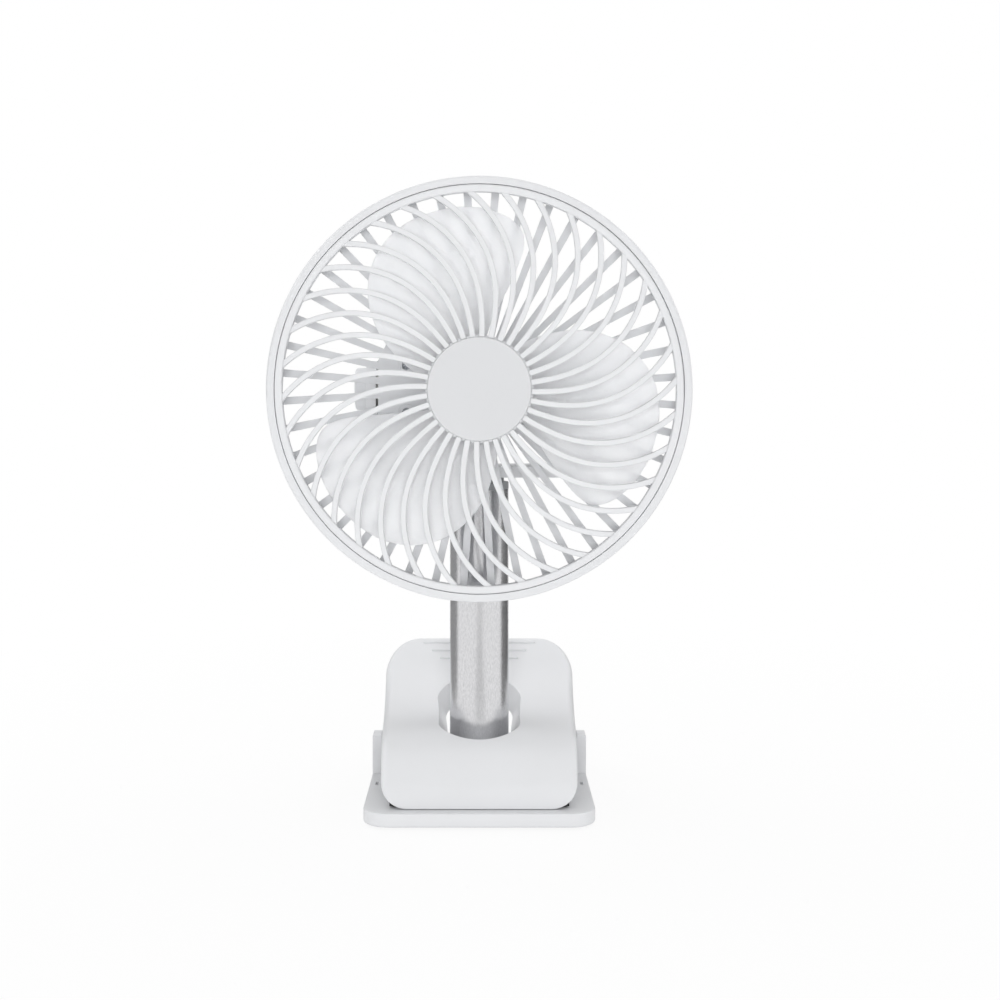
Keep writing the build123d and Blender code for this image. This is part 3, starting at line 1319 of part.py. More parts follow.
FOOT_LOW = PAD_PROUD + FREE + PAD_THICK
FOOT_HIGH = 2.4
FOOT_FRONT = LIP_REACH - LEVER_SHELL / 2
FOOT_BACK = LIP_REACH - LEVER_SHELL - PAD_LONG
PAD_MID = PAD_LONG / 2 + LEVER_SHELL - LIP_REACH
RIDGES = [(6.4, 26.0), (11.0, 21.8), (15.4, 18.0)]
RIDGE_R = 0.6
with BuildPart() as clamp_lever:
    add(lever_band.part)
    # lugs that reach down to the hinge pin
    with BuildSketch(LEVER_LEFT):
        with Locations((HINGE_Y, HINGE_UP)):
            Circle(LUG_R)
        Polygon(
            (HINGE_Y - LUG_R, HINGE_UP),
            (HINGE_Y + LUG_R, HINGE_UP),
            (HINGE_Y + 2.4 * LUG_R, SLOT_UP - LEVER_SHELL),
            (HINGE_Y - 2.4 * LUG_R, SLOT_UP - 2 * LEVER_SHELL),
            align=None,
        )
    extrude(amount=LEVER_WIDE)
    with BuildSketch(Plane.XY):
        Polygon(*lever_outline(), align=None)
        handle_corners = vertices().group_by(Axis.Y)[-1]
        fillet(handle_corners, LEVER_REAR_CORNER)
    extrude(amount=4 * HANDLE_HIGH, mode=Mode.INTERSECT)
    top_face = clamp_lever.faces().filter_by(GeomType.EXTRUSION).sort_by(SortBy.AREA)[-1]
    rim_edges = [edge for edge in top_face.edges() if (edge @ 0.5).Z > PLATE_TOP + 2 * LIP_GAP]
    fillet(rim_edges, LEVER_ROUND)
    add(front_corners.part, mode=Mode.SUBTRACT)
    add(lever_hollow.part, mode=Mode.SUBTRACT)
    add(slot_collar.part)
    add(lever_ribs.part)
    # the foot behind the lip, which holds the rubber pad
    with BuildSketch(LEVER_SIDE):
        with Locations((-(FOOT_FRONT + FOOT_BACK) / 2, FOOT_LOW + FOOT_HIGH / 2)):
            Rectangle(FOOT_FRONT - FOOT_BACK, FOOT_HIGH)
    extrude(amount=PAD_HALF, both=True)
    with BuildSketch(LEVER_SIDE):
        with Locations((PAD_MID, FOOT_LOW / 2)):
            Rectangle(PAD_LONG, FOOT_LOW)
    extrude(amount=PAD_HALF + SEAT, both=True, mode=Mode.SUBTRACT)
    for side in pivot_sides:
        with Locations((side * (LUG_BOSS_X + LUG_OUTER_X) / 2, HINGE_Y, HINGE_Z)):
            Cylinder(LUG_BOSS_R, LUG_OUTER_X - LUG_BOSS_X, rotation=(0, 90, 0))
    add(slot_cutter.part, mode=Mode.SUBTRACT)
    with Locations((0, HINGE_Y, HINGE_Z)):
        Cylinder(PIN_R + RUN, LEVER_WIDE, rotation=(0, 90, 0), mode=Mode.SUBTRACT)
    # grip ridges across the end of the handle
    for back_from_end, half in RIDGES:
        spot = top.position_at(back_from_end, position_mode=PositionMode.LENGTH)
        with Locations((0, spot.X, PLATE_TOP + spot.Y)):
            Cylinder(RIDGE_R, 2 * half, rotation=(0, 90, 0))
clamp_lever.part.label = "clamp_lever"
export_step(clamp_lever.part, "parts/clamp_lever.step")

with BuildPart() as lever_grip_pad:
    with BuildSketch(LEVER_SIDE):
        with Locations((PAD_MID, FOOT_LOW - PAD_THICK / 2)):
            Rectangle(PAD_LONG - 2 * SEAT, PAD_THICK)
    extrude(amount=PAD_HALF, both=True)
lever_grip_pad.part.label = "lever_grip_pad"
export_step(lever_grip_pad.part, "parts/lever_grip_pad.step")
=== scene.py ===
# %% [markdown]
# # A small clip fan, dressed in Blender
# The solid shapes of the fan come in as a fixed frame: every moulding, tube,
# spring and screw is already in its place, in metres, with +Z up and the fan
# looking along -Y. This lesson gives each piece the finish of the real thing,
# draws the two springs anew as swept wire, and then lights and
# photographs the fan.

# %% Load the frame
import json
from math import cos, pi, radians, sin

import bmesh
import bpy
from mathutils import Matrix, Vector


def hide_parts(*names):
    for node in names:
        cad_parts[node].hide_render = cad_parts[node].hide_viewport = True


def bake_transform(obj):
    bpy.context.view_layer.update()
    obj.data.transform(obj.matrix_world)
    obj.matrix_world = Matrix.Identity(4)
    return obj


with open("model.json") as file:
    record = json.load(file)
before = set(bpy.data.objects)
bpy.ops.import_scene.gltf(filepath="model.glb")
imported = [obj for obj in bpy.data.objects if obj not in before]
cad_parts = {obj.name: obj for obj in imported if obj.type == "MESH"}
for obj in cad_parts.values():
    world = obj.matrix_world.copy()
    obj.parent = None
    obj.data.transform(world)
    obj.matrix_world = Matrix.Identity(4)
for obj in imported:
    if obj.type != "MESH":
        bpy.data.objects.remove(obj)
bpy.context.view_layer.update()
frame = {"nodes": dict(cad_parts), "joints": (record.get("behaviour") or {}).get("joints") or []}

NODES = frame["nodes"]
MM = 0.001
print("pieces in the frame:", len(NODES))

# %% [markdown]
# ## The camera
# A product photographer sets the camera level with the middle of the fan, so
# that the round grille stays round. The lens is a plain 50 mm one, and the
# picture is framed by shifting the view, as with a shift lens, instead of by
# tilting the camera.

# %% Camera
CAMERA_DISTANCE = 0.600
CAMERA_HEIGHT = 0.174
LENS_MM = 50.7
SENSOR_MM = 36.0
VIEW_SHIFT_RIGHT = 0.0207
VIEW_SHIFT_DOWN = 0.111
eye = bpy.data.cameras.new("level_camera")
eye.lens = LENS_MM
eye.sensor_width = SENSOR_MM
eye.shift_x = VIEW_SHIFT_RIGHT
eye.shift_y = -VIEW_SHIFT_DOWN
camera = bpy.data.objects.new("level_camera", eye)
camera.location = (0.0, -CAMERA_DISTANCE, CAMERA_HEIGHT)
camera.rotation_euler = (radians(90), 0.0, 0.0)
bpy.context.scene.collection.objects.link(camera)
bpy.context.scene.camera = camera
bpy.context.scene.view_settings.view_transform = "Standard"
print("camera stands", CAMERA_DISTANCE, "m in front, lens", LENS_MM, "mm")

# %% [markdown]
# ## Tools for materials
# A few helpers do the work on materials. One turns a hex colour, as a paint
# shop would write it, into the linear numbers that Blender computes with.
# One adds one shader node with its settings and its links. The last ones
# begin a material, close it, and put it on pieces of the frame.


# %% Helpers for materials
def linear(share):
    """One sRGB channel, from 0 to 1, as the linear share of light."""
    return share / 12.92 if share <= 0.04045 else ((share + 0.055) / 1.055) ** 2.4


def colour(hex_text):
    """An sRGB hex colour as linear red, green, blue and alpha."""
    channels = [int(hex_text[start : start + 2], 16) / 255 for start in (1, 3, 5)]
    return [linear(channel) for channel in channels] + [1.0]


def add_node(tree, kind, settings=None, links=None):
    """One shader node: settings go to its options or sockets, links to its sockets."""
    node = tree.nodes.new(kind)
    for name, value in (settings or {}).items():
        if isinstance(name, str) and name not in node.inputs:
            setattr(node, name, value)
        else:
            node.inputs[name].default_value = value
    for name, source in (links or {}).items():
        tree.links.new(source, node.inputs[name])
    return node


def new_material(name):
    """A new material, and its node tree, still empty."""
    material = bpy.data.materials.new(name)
    material.use_nodes = True
    material.node_tree.nodes.clear()
    return material, material.node_tree


def finish_shader(tree, shader):
    """Links a shader to the material's output."""
    add_node(tree, "ShaderNodeOutputMaterial", links={"Surface": shader})


def dress(material, *names):
    """Gives one material to frame pieces."""
    for name in names:
        NODES[name].data.materials.clear()
        NODES[name].data.materials.append(material)
    print(material.name, "on", ", ".join(names))


# %% [markdown]
# ## Moulded plastic
# Nearly all of the fan is injection-moulded ABS. The steel mould is spark
# eroded, which leaves a fine grain of about a third of a millimetre on the
# part: from a step away it only softens the gloss. Thick and thin places
# cool at different speeds, so the colour and the gloss also drift a little
# over a few centimetres. Both come from noise in the object's own
# millimetres, so that they stay put when a part moves. Every moulded edge
# has a small radius, which a Bevel node shades in.


# %% Moulded plastic
COOLING_PATCH = 28 * MM
GLOSS_DRIFT = 0.04
ABS_IOR = 1.54


def moulded(name, tint, deep_tint, roughness, grain_mm, lift_mm, edge_mm=0.35):
    """Injection-moulded plastic: two close tints, a grain in mm, and soft edges."""
    material, tree = new_material(name)
    place = add_node(tree, "ShaderNodeTexCoord")
    drift = add_node(
        tree,
        "ShaderNodeTexNoise",
        {"Scale": 1 / COOLING_PATCH, "Detail": 3.0, "Roughness": 0.5},
        {"Vector": place.outputs["Object"]},
    )
    tints = add_node(
        tree,
        "ShaderNodeMix",
        {"data_type": "RGBA", 6: colour(deep_tint), 7: colour(tint)},
        {0: drift.outputs["Fac"]},
    )
    gloss = add_node(
        tree,
        "ShaderNodeMapRange",
        {
            "From Min": 0.3,
            "From Max": 0.7,
            "To Min": roughness - GLOSS_DRIFT,
            "To Max": roughness + GLOSS_DRIFT,
        },
        {"Value": drift.outputs["Fac"]},
    )
    grain = add_node(
        tree,
        "ShaderNodeTexNoise",
        {"Scale": 1 / (grain_mm * MM), "Detail": 2.0, "Roughness": 0.6},
        {"Vector": place.outputs["Object"]},
    )
    edges = add_node(tree, "ShaderNodeBevel", {"samples": 6, "Radius": edge_mm * MM})
    relief = add_node(
        tree,
        "ShaderNodeBump",
        {"Strength": 0.35, "Distance": lift_mm * MM},
        {"Height": grain.outputs["Fac"], "Normal": edges.outputs["Normal"]},
    )
    shader = add_node(
        tree,
        "ShaderNodeBsdfPrincipled",
        {"IOR": ABS_IOR},
        {
            "Base Color": tints.outputs[2],
            "Roughness": gloss.outputs["Result"],
            "Normal": relief.outputs["Normal"],
        },
    )
    finish_shader(tree, shader.outputs["BSDF"])
    return material


white_abs = moulded(
    "abs_moulded_white", "#E2E3E5", "#DEDFE1", roughness=0.42, grain_mm=0.32, lift_mm=0.02
)
grille_abs = moulded(
    "abs_moulded_grille",
    "#E4E5E7",
    "#E0E1E3",
    roughness=0.42,
    grain_mm=0.32,
    lift_mm=0.02,
    edge_mm=0.8,
)
cap_abs = moulded(
    "abs_satin_cap",
    "#D8D9DB",
    "#D4D5D7",
    roughness=0.50,
    grain_mm=0.28,
    lift_mm=0.02,
    edge_mm=0.25,
)
yoke_abs = moulded(
    "abs_moulded_yoke", "#E8E9EA", "#E3E4E6", roughness=0.45, grain_mm=0.32, lift_mm=0.02
)
inner_abs = moulded(
    "abs_natural_inner", "#D9DADA", "#D2D3D2", roughness=0.55, grain_mm=0.45, lift_mm=0.03
)
# Painted shade: the grey of the pole's top plug stands in for the shadow under the yoke.
neck_abs_painted_shade = moulded(
    "abs_grey_neck_painted_shade", "#A2A3A6", "#989A9D", roughness=0.42, grain_mm=0.32, lift_mm=0.02
)
button_abs = moulded(
    "abs_button", "#E2E4E7", "#DCDFE2", roughness=0.35, grain_mm=0.25, lift_mm=0.01
)
nylon = moulded(
    "nylon_black",
    "#1B1C1E",
    "#141517",
    roughness=0.48,
    grain_mm=0.3,
    lift_mm=0.02,
    edge_mm=0.15,
)
acetal = moulded(
    "acetal_natural",
    "#E8E8E2",
    "#E2E2DA",
    roughness=0.38,
    grain_mm=0.4,
    lift_mm=0.01,
    edge_mm=0.2,
)

# %% [markdown]
# ## Which mouldings are white
# The shell parts share one white, as they would come from one batch of
# granules. The front grille is a touch lighter, with rounder edges on its
# thin ribs, and so is the yoke. The cap is a separate, slightly greyer part
# with a finer grain. The plug in the top of the pole is painted grey, as
# painted shade for the shadow that falls on it under the yoke.

# %% Dress the mouldings
dress(
    white_abs,
    "base_plate",
    "clamp_lever",
    "rear_grille",
    "rear_cover",
    "pivot_cap_left",
    "pivot_cap_right",
)
dress(grille_abs, "front_grille")
dress(cap_abs, "front_cap")
dress(yoke_abs, "yoke")
dress(neck_abs_painted_shade, "pole_top_plug")
dress(inner_abs, "base_cover", "pole_foot_plug", "battery_sleeve", "motor_end_cap")
dress(button_abs, "power_button")
dress(nylon, "tact_switch")
dress(acetal, "friction_washers")

# %% [markdown]
# ## Milky blades
# The impeller is moulded in a translucent polypropylene. Light goes into
# the blade, scatters, and leaves on the far side, so a rib behind it shows
# as a soft grey shape. A rough transmission mixed with plain diffuse white
# gives that, without the cost of true volume scattering.


# %% Blade material
FLOW_PATCH = 18 * MM
BLADE_SKIN = 0.5 * MM
BLADE_EDGE = 0.4 * MM
BLADE_LIFT = 0.01 * MM


def milky_plastic(name):
    """Translucent polypropylene: cloudy, bright, and soft to what lies behind."""
    material, tree = new_material(name)
    place = add_node(tree, "ShaderNodeTexCoord")
    flow = add_node(
        tree,
        "ShaderNodeTexNoise",
        {"Scale": 1 / FLOW_PATCH, "Detail": 3.0, "Roughness": 0.5, "Distortion": 0.6},
        {"Vector": place.outputs["Object"]},
    )
    tints = add_node(
        tree,
        "ShaderNodeMix",
        {"data_type": "RGBA", 6: colour("#FAFBFC"), 7: colour("#FEFEFF")},
        {0: flow.outputs["Fac"]},
    )
    skin = add_node(
        tree,
        "ShaderNodeTexNoise",
        {"Scale": 1 / BLADE_SKIN, "Detail": 2.0},
        {"Vector": place.outputs["Object"]},
    )
    edges = add_node(tree, "ShaderNodeBevel", {"samples": 4, "Radius": BLADE_EDGE})
    relief = add_node(
        tree,
        "ShaderNodeBump",
        {"Strength": 0.2, "Distance": BLADE_LIFT},
        {"Height": skin.outputs["Fac"], "Normal": edges.outputs["Normal"]},
    )
    shader = add_node(
        tree,
        "ShaderNodeBsdfPrincipled",
        {"IOR": 1.2, "Roughness": 0.95, "Transmission Weight": 0.5},
        {"Base Color": tints.outputs[2], "Normal": relief.outputs["Normal"]},
    )
    finish_shader(tree, shader.outputs["BSDF"])
    return material


milky_blade = milky_plastic("polypropylene_milky")
dress(milky_blade, "impeller")

# %% [markdown]
# ## Metals
# Bare metal takes its colour from what it reflects, so the finish is in its
# roughness. The pole is drawn aluminium tube that was blasted with fine beads
# and anodised: small dents, a little longer than wide, spread each highlight
# into a soft upright band with a sparkle in it. Such a grain is usually
# about 0.15 mm. It is drawn three times as coarse, so that it shows in the
# picture.


# %% Metal
METAL_GLOSS_DRIFT = 0.06


def metal(name, tint, deep_tint, roughness, grain_mm, lift_mm, strength=0.4, stretch=(1, 1, 1)):
    """Metal with a grain: stretch makes the grain longer along an axis."""
    material, tree = new_material(name)
    place = add_node(tree, "ShaderNodeTexCoord")
    pulled = add_node(
        tree, "ShaderNodeMapping", {"Scale": stretch}, {"Vector": place.outputs["Object"]}
    )
    grain = add_node(
        tree,
        "ShaderNodeTexNoise",
        {"Scale": 1 / (grain_mm * MM), "Detail": 3.0, "Roughness": 0.65},
        {"Vector": pulled.outputs["Vector"]},
    )
    tints = add_node(
        tree,
        "ShaderNodeMix",
        {"data_type": "RGBA", 6: colour(deep_tint), 7: colour(tint)},
        {0: grain.outputs["Fac"]},
    )
    gloss = add_node(
        tree,
        "ShaderNodeMapRange",
        {
            "From Min": 0.3,
            "From Max": 0.7,
            "To Min": roughness - METAL_GLOSS_DRIFT,
            "To Max": roughness + METAL_GLOSS_DRIFT,
        },
        {"Value": grain.outputs["Fac"]},
    )
    relief = add_node(
        tree,
        "ShaderNodeBump",
        {"Strength": strength, "Distance": lift_mm * MM},
        {"Height": grain.outputs["Fac"]},
    )
    shader = add_node(
        tree,
        "ShaderNodeBsdfPrincipled",
        {"Metallic": 1.0},
        {
            "Base Color": tints.outputs[2],
            "Roughness": gloss.outputs["Result"],
            "Normal": relief.outputs["Normal"],
        },
    )
    finish_shader(tree, shader.outputs["BSDF"])
    return material


aluminium = metal(
    "aluminium_bead_blasted",
    "#F2F2F3",
    "#BABABD",
    roughness=0.20,
    grain_mm=0.45,
    lift_mm=0.07,
    strength=0.6,
    stretch=(1, 1, 0.3),
)
zinc_steel = metal(
    "steel_zinc_plated", "#C9CCD1", "#B4B8BE", roughness=0.3, grain_mm=0.6, lift_mm=0.01
)
wire_steel = metal(
    "steel_spring_wire",
    "#A9ABAE",
    "#8C8E92",
    roughness=0.28,
    grain_mm=0.5,
    lift_mm=0.01,
    strength=0.3,
    stretch=(1, 1, 0.2),
)
can_steel = metal(
    "steel_drawn_can",
    "#BFC1C4",
    "#AEB0B4",
    roughness=0.32,
    grain_mm=0.4,
    lift_mm=0.01,
    strength=0.3,
    stretch=(1, 0.1, 1),
)
nickel = metal(
    "nickel_plated",
    "#D3CFC7",
    "#C4C0B8",
    roughness=0.22,
    grain_mm=0.7,
    lift_mm=0.01,
    strength=0.2,
)
bronze = metal(
    "bronze_sintered",
    "#A9825A",
    "#7D5C3C",
    roughness=0.5,
    grain_mm=0.25,
    lift_mm=0.03,
    strength=0.6,
)
dress(aluminium, "pole_tube")
dress(
    zinc_steel,
    "base_screws",
    "housing_screws",
    "board_screws",
    "pole_screws",
    "pivot_screws",
    "swivel_screw",
    "swivel_washer",
    "hinge_pin",
)
dress(can_steel, "motor_can", "motor_shaft", "motor_rotor")
dress(nickel, "battery_contacts", "usb_socket")
dress(bronze, "motor_bush_front", "motor_bush_rear")

# %% [markdown]
# ## Rubber and the small hidden parts
# The two grip strips are black rubber, the mat below the base is grey. Both
# are matt, with a bloom that is a little paler in patches. The parts inside
# the shell still get their own finish, because they show when the pieces are
# taken apart: shrink film on the cell, ferrite magnets, a green board, and a
# frosted light window.


# %% Matt and hidden materials
def matt(name, tint, deep_tint, roughness, patch_mm, grain_mm, lift_mm):
    """A matt surface with pale patches and a fine grain."""
    material, tree = new_material(name)
    place = add_node(tree, "ShaderNodeTexCoord")
    patch = add_node(
        tree,
        "ShaderNodeTexNoise",
        {"Scale": 1 / (patch_mm * MM), "Detail": 4.0},
        {"Vector": place.outputs["Object"]},
    )
    grain = add_node(
        tree,
        "ShaderNodeTexVoronoi",
        {"Scale": 1 / (grain_mm * MM)},
        {"Vector": place.outputs["Object"]},
    )
    tints = add_node(
        tree,
        "ShaderNodeMix",
        {"data_type": "RGBA", 6: colour(deep_tint), 7: colour(tint)},
        {0: patch.outputs["Fac"]},
    )
    relief = add_node(
        tree,
        "ShaderNodeBump",
        {"Strength": 0.5, "Distance": lift_mm * MM},
        {"Height": grain.outputs["Distance"]},
    )
    shader = add_node(
        tree,
        "ShaderNodeBsdfPrincipled",
        {"IOR": 1.5, "Roughness": roughness},
        {"Base Color": tints.outputs[2], "Normal": relief.outputs["Normal"]},
    )
    finish_shader(tree, shader.outputs["BSDF"])
    return material


black_rubber = matt(
    "rubber_black", "#26272A", "#1A1B1D", roughness=0.72, patch_mm=6, grain_mm=0.5, lift_mm=0.04
)
grey_rubber = matt(
    "rubber_grey_mat", "#8F9194", "#7A7C7F", roughness=0.78, patch_mm=9, grain_mm=1.6, lift_mm=0.30
)
ferrite = matt(
    "ferrite_dark", "#2E2F31", "#232426", roughness=0.6, patch_mm=4, grain_mm=0.3, lift_mm=0.03
)
board_green = matt(
    "epoxy_board_green",
    "#1E6B45",
    "#17593A",
    roughness=0.35,
    patch_mm=8,
    grain_mm=1.2,
    lift_mm=0.02,
)
cell_film = matt(
    "pvc_shrink_film", "#2E6C8E", "#28617F", roughness=0.25, patch_mm=14, grain_mm=2.0, lift_mm=0.02
)
dress(black_rubber, "lever_grip_pad", "plate_grip_pad")
dress(grey_rubber, "base_mat")
dress(ferrite, "motor_magnets")
dress(board_green, "control_board")
dress(cell_film, "battery_cell")

# %% [markdown]
# ## The light window
# The charging light shines through a small frosted acrylic window: clear
# plastic with a rough skin, so it is transmission with a high roughness.


# %% Frosted window
WINDOW_GRAIN = 0.4 * MM
WINDOW_LIFT = 0.02 * MM


def frosted(name, tint):
    """Clear acrylic with a rough skin."""
    material, tree = new_material(name)
    place = add_node(tree, "ShaderNodeTexCoord")
    grain = add_node(
        tree,
        "ShaderNodeTexNoise",
        {"Scale": 1 / WINDOW_GRAIN},
        {"Vector": place.outputs["Object"]},
    )
    relief = add_node(
        tree,
        "ShaderNodeBump",
        {"Strength": 0.3, "Distance": WINDOW_LIFT},
        {"Height": grain.outputs["Fac"]},
    )
    shader = add_node(
        tree,
        "ShaderNodeBsdfPrincipled",
        {"Base Color": colour(tint), "Roughness": 0.4, "IOR": 1.49, "Transmission Weight": 0.6},
        {"Normal": relief.outputs["Normal"]},
    )
    finish_shader(tree, shader.outputs["BSDF"])
    return material


window = frosted("acrylic_frosted", "#E9F1F4")
dress(window, "status_light")

# %% [markdown]
# ## Springs that twist
# Each torsion spring has one leg on the base and one under the lever. When
# the lever is squeezed, the coil between them winds up.

# %% Path of the spring wire
HINGE = Vector(next(joint["pos_m"] for joint in frame["joints"] if joint["name"] == "lever_open"))
WIRE_R = 0.6 * MM
COIL_R = 2.6 * MM
COIL_PITCH = 1.7 * MM
COIL_OUTER_X = 30.0 * MM
COIL_START = radians(140.0)
COIL_TURN = radians(1910.0)
COIL_STEP = radians(10.0)
UPPER_LEG = 21.0 * MM
PLATE_TOP = 6.5 * MM


def coil_point(turned):
    """Centre of the wire after this much turn round the right-hand coil."""
    angle = COIL_START + turned
    across = COIL_OUTER_X - COIL_PITCH * turned / (2 * pi)
    return Vector((across, HINGE.y + COIL_R * cos(angle), HINGE.z + COIL_R * sin(angle)))


def coil_heading(turned):
    """Direction in which the wire runs there."""
    angle = COIL_START + turned
    return Vector((-COIL_PITCH / (2 * pi * COIL_R), -sin(angle), cos(angle))).normalized()


# The upper leg has a set length. The lower one runs down until the wire
# lies on the plate.
steps = round(COIL_TURN / COIL_STEP)
coil = [coil_point(COIL_TURN * step / steps) for step in range(steps + 1)]
first_heading = coil_heading(0.0)
last_heading = coil_heading(COIL_TURN)
lower_leg = (coil[-1].z - PLATE_TOP - WIRE_R) / -last_heading.z
upper_tip = coil[0] - first_heading * UPPER_LEG
lower_tip = coil[-1] + last_heading * lower_leg
wire_path = [upper_tip] + coil + [lower_tip]
print("wire of each spring:", round(COIL_TURN / (2 * pi), 1), "turns,", len(wire_path), "points")

# %% [markdown]
# The tube is a ring of twelve points, carried along the path. Each new ring
# is the last one turned by no more than the bend of the path, so that the
# tube doesn't twist.


# %% Sweep the wire
def swept_wire(name, path, radius, sides=12):
    """A closed tube of this radius along a path."""
    mesh = bmesh.new()
    turns = [2 * pi * k / sides for k in range(sides)]
    heading = (path[1] - path[0]).normalized()
    side = heading.orthogonal().normalized()
    rings = []
    for index, point in enumerate(path):
        before = path[max(index - 1, 0)]
        after = path[min(index + 1, len(path) - 1)]
        new_heading = (after - before).normalized()
        side = heading.rotation_difference(new_heading) @ side
        heading = new_heading
        up = heading.cross(side)
        rim = [point + radius * (cos(turn) * side + sin(turn) * up) for turn in turns]
        rings.append([mesh.verts.new(corner) for corner in rim])
    for ring, following in zip(rings, rings[1:]):
        for k in range(sides):
            beside = (k + 1) % sides
            mesh.faces.new((ring[k], ring[beside], following[beside], following[k]))
    mesh.faces.new(reversed(rings[0]))
    mesh.faces.new(rings[-1])
    bmesh.ops.recalc_face_normals(mesh, faces=mesh.faces)
    for face in mesh.faces:
        face.smooth = len(face.verts) == 4
    data = bpy.data.meshes.new(name)
    mesh.to_mesh(data)
    mesh.free()
    piece = bpy.data.objects.new(name, data)
    bpy.context.scene.collection.objects.link(piece)
    return piece


for hand, side_sign in (("right", 1), ("left", -1)):
    hand_path = [Vector((side_sign * p.x, p.y, p.z)) for p in wire_path]
    spring = swept_wire("spring_wire_" + hand, hand_path, WIRE_R)
    spring.data.materials.append(wire_steel)
    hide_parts("hinge_spring_" + hand)
    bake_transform(spring)
    print(spring.name, "has", len(spring.data.polygons), "faces")

# %% [markdown]
# ## Floor and background
# Product pictures are taken on a roll of white paper. Near the fan the floor
# is real paper, which takes its shadow. Further out it fades to pure white
# for the eye, for gloss and for glass alike, so no edge of the roll shows.


# %% Floor and world
FLOOR_HALF = 4.0
PAPER_NEAR = 0.10
PAPER_FAR = 0.45
PAPER_NEAR_GLOW = 0.90
PAPER_FIBRE = 1.5 * MM
PAPER_LIFT = 0.05 * MM
SKY_LIGHT = 0.44
PURE_WHITE = (1, 1, 1, 1)


def flat_sheet(name, half_width, half_height, material):
    """A flat rectangle round its own middle."""
    mesh = bpy.data.meshes.new(name)
    signs = ((-1, -1), (1, -1), (1, 1), (-1, 1))
    corners = [(x * half_width, y * half_height, 0.0) for x, y in signs]
    mesh.from_pydata(corners, [], [(0, 1, 2, 3)])
    mesh.materials.append(material)
    sheet = bpy.data.objects.new(name, mesh)
    bpy.context.scene.collection.objects.link(sheet)
    return sheet


def straight_rays(tree):
    """Is 1 for rays of the eye, of gloss and of glass, and 0 for stray light."""
    rays = add_node(tree, "ShaderNodeLightPath")
    eye_or_gloss = add_node(
        tree,
        "ShaderNodeMath",
        {"operation": "ADD", "use_clamp": True},
        {0: rays.outputs["Is Camera Ray"], 1: rays.outputs["Is Glossy Ray"]},
    )
    or_glass = add_node(
        tree,
        "ShaderNodeMath",
        {"operation": "ADD", "use_clamp": True},
        {0: eye_or_gloss.outputs[0], 1: rays.outputs["Is Transmission Ray"]},
    )
    return or_glass.outputs[0]


paper, paper_tree = new_material("paper_white")
paper_place = add_node(paper_tree, "ShaderNodeTexCoord")
paper_reach = add_node(
    paper_tree, "ShaderNodeVectorMath", {"operation": "LENGTH"}, {0: paper_place.outputs["Object"]}
)
paper_fade = add_node(
    paper_tree,
    "ShaderNodeMapRange",
    {"From Min": PAPER_NEAR, "From Max": PAPER_FAR, "To Min": PAPER_NEAR_GLOW, "To Max": 1.0},
    {"Value": paper_reach.outputs["Value"]},
)
glow_share = add_node(
    paper_tree,
    "ShaderNodeMath",
    {"operation": "MULTIPLY"},
    {0: straight_rays(paper_tree), 1: paper_fade.outputs["Result"]},
)
paper_fibre = add_node(
    paper_tree,
    "ShaderNodeTexNoise",
    {"Scale": 1 / PAPER_FIBRE, "Detail": 3.0},
    {"Vector": paper_place.outputs["Object"]},
)
paper_bump = add_node(
    paper_tree,
    "ShaderNodeBump",
    {"Strength": 0.05, "Distance": PAPER_LIFT},
    {"Height": paper_fibre.outputs["Fac"]},
)
paper_skin = add_node(
    paper_tree,
    "ShaderNodeBsdfDiffuse",
    {"Color": colour("#F7F7F7")},
    {"Normal": paper_bump.outputs["Normal"]},
)
paper_glow = add_node(paper_tree, "ShaderNodeEmission", {"Color": PURE_WHITE, "Strength": 1.0})
paper_mix = add_node(
    paper_tree,
    "ShaderNodeMixShader",
    links={0: glow_share.outputs[0], 1: paper_skin.outputs[0], 2: paper_glow.outputs[0]},
)
finish_shader(paper_tree, paper_mix.outputs[0])
floor = flat_sheet("paper_floor", FLOOR_HALF, FLOOR_HALF, paper)

world = bpy.data.worlds.new("studio_room")
world.use_nodes = True
world_tree = world.node_tree
world_tree.nodes.clear()
room = add_node(world_tree, "ShaderNodeBackground", {"Color": PURE_WHITE, "Strength": SKY_LIGHT})
white = add_node(world_tree, "ShaderNodeBackground", {"Color": PURE_WHITE, "Strength": 1.0})
world_mix = add_node(
    world_tree,
    "ShaderNodeMixShader",
    links={0: straight_rays(world_tree), 1: room.outputs[0], 2: white.outputs[0]},
)
add_node(world_tree, "ShaderNodeOutputWorld", links={"Surface": world_mix.outputs[0]})
bpy.context.scene.world = world
print("floor half width", FLOOR_HALF, "m")

# %% [markdown]
# ## Studio light
# The room itself gives nearly half of the light. Two soft boxes stand a little
# behind the fan, left and right, and one hangs above: they brighten what
# faces up, such as the clip's lever, and shine through the milky blades. The
# last lamp is a fill behind the camera. Its light goes straight through the
# grille, so the blades are as bright as the ribs in front of them. It is left
# out of reflections, as a photographer would turn its glare away.
#
# On the pole the white room shows as bright bands. Grey cards at the sides,
# behind the camera and on the floor draw the darker bands between them, as in
# any product studio. Only reflections see the cards.


# %% Lamps and cards
FAN_MIDDLE = (0.0, 0.0, 0.13)
POLE_MIDDLE = (0.0, 0.0, 0.12)


def aim(thing, target):
    """Turns a lamp or card so that its -Z side looks at the target."""
    look = Vector(target) - thing.location
    thing.rotation_euler = look.to_track_quat("-Z", "Y").to_euler()


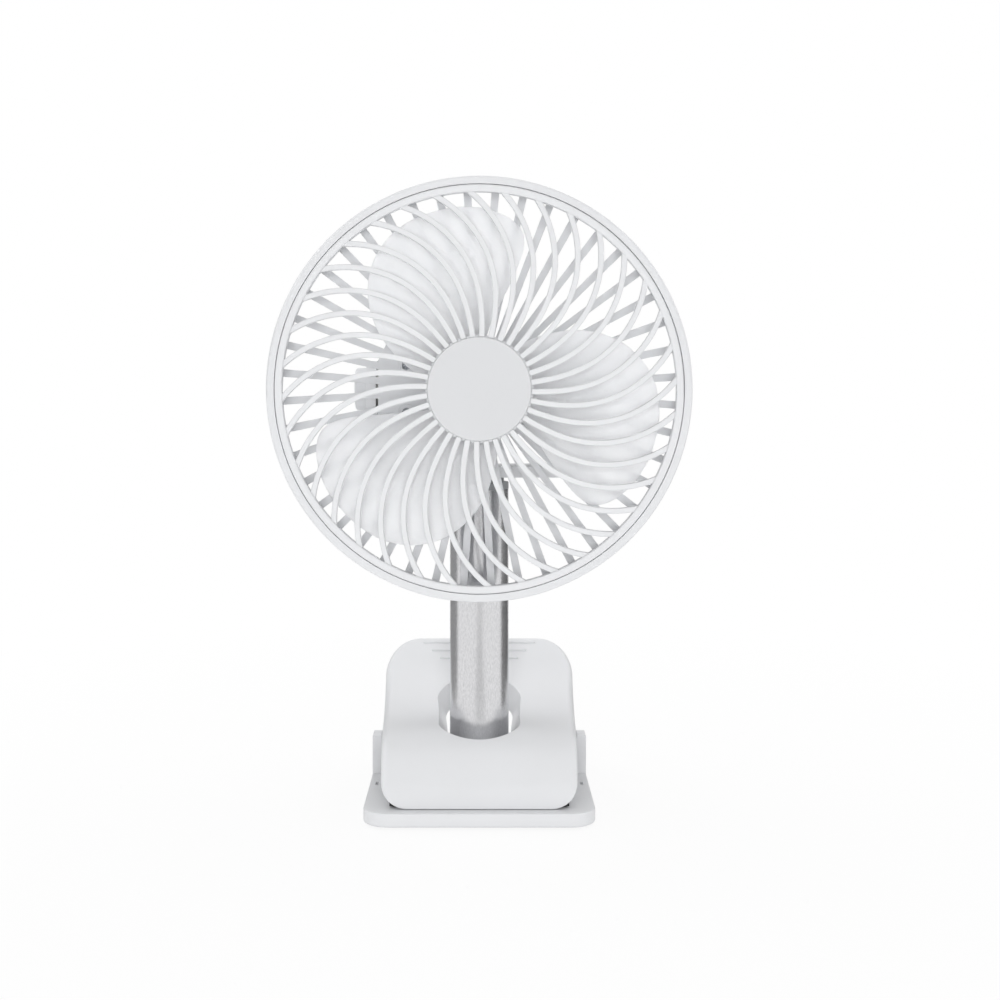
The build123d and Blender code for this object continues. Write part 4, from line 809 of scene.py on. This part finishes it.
def soft_box(name, place, width, height, watts):
    """A rectangular lamp that looks at the fan."""
    lamp = bpy.data.lights.new(name, "AREA")
    lamp.shape = "RECTANGLE"
    lamp.size = width
    lamp.size_y = height
    lamp.energy = watts
    thing = bpy.data.objects.new(name, lamp)
    thing.location = place
    thing.visible_camera = False
    aim(thing, FAN_MIDDLE)
    bpy.context.scene.collection.objects.link(thing)
    return thing


soft_box("soft_box_left", (-0.85, 0.35, 0.75), width=1.0, height=1.0, watts=4.2)
soft_box("soft_box_right", (0.85, 0.35, 0.75), width=1.0, height=1.0, watts=3.6)
soft_box("soft_box_high", (0.0, 0.30, 1.2), width=1.8, height=1.6, watts=4.0)
fill = soft_box("soft_box_fill", (0.0, -1.2, 0.19), width=0.4, height=0.4, watts=6.4)
fill.visible_glossy = False


def grey_card(name, shade, place, width, height, target):
    """A grey card that only reflections can see."""
    board, board_tree = new_material(name)
    felt = add_node(board_tree, "ShaderNodeBsdfDiffuse", {"Color": colour(shade)})
    finish_shader(board_tree, felt.outputs[0])
    card = flat_sheet(name, width / 2, height / 2, board)
    card.location = place
    aim(card, target)
    card.visible_camera = False
    card.visible_shadow = False
    card.visible_diffuse = False
    card.visible_transmission = False


SIDE_CARD_HEIGHT = 0.23
FLOOR_CARD_PLACE = (0.01, -0.55, 0.002)
BELOW_FLOOR_CARD = (0.01, -0.55, -1.0)
grey_card("card_left", "#A2A2A2", (-0.137, 0.092, 0.12), 0.20, SIDE_CARD_HEIGHT, POLE_MIDDLE)
grey_card("card_right", "#8C8C8C", (0.144, 0.041, 0.12), 0.075, SIDE_CARD_HEIGHT, POLE_MIDDLE)
grey_card("card_right_far", "#707070", (0.141, 0.141, 0.12), 0.107, SIDE_CARD_HEIGHT, POLE_MIDDLE)
grey_card("card_front", "#D4D4D4", (0.03, -1.6, 0.5), 0.75, 1.2, FAN_MIDDLE)
grey_card("card_low", "#E2E2E2", FLOOR_CARD_PLACE, 0.12, 0.80, BELOW_FLOOR_CARD)
print("four lamps and five cards stand round the fan")
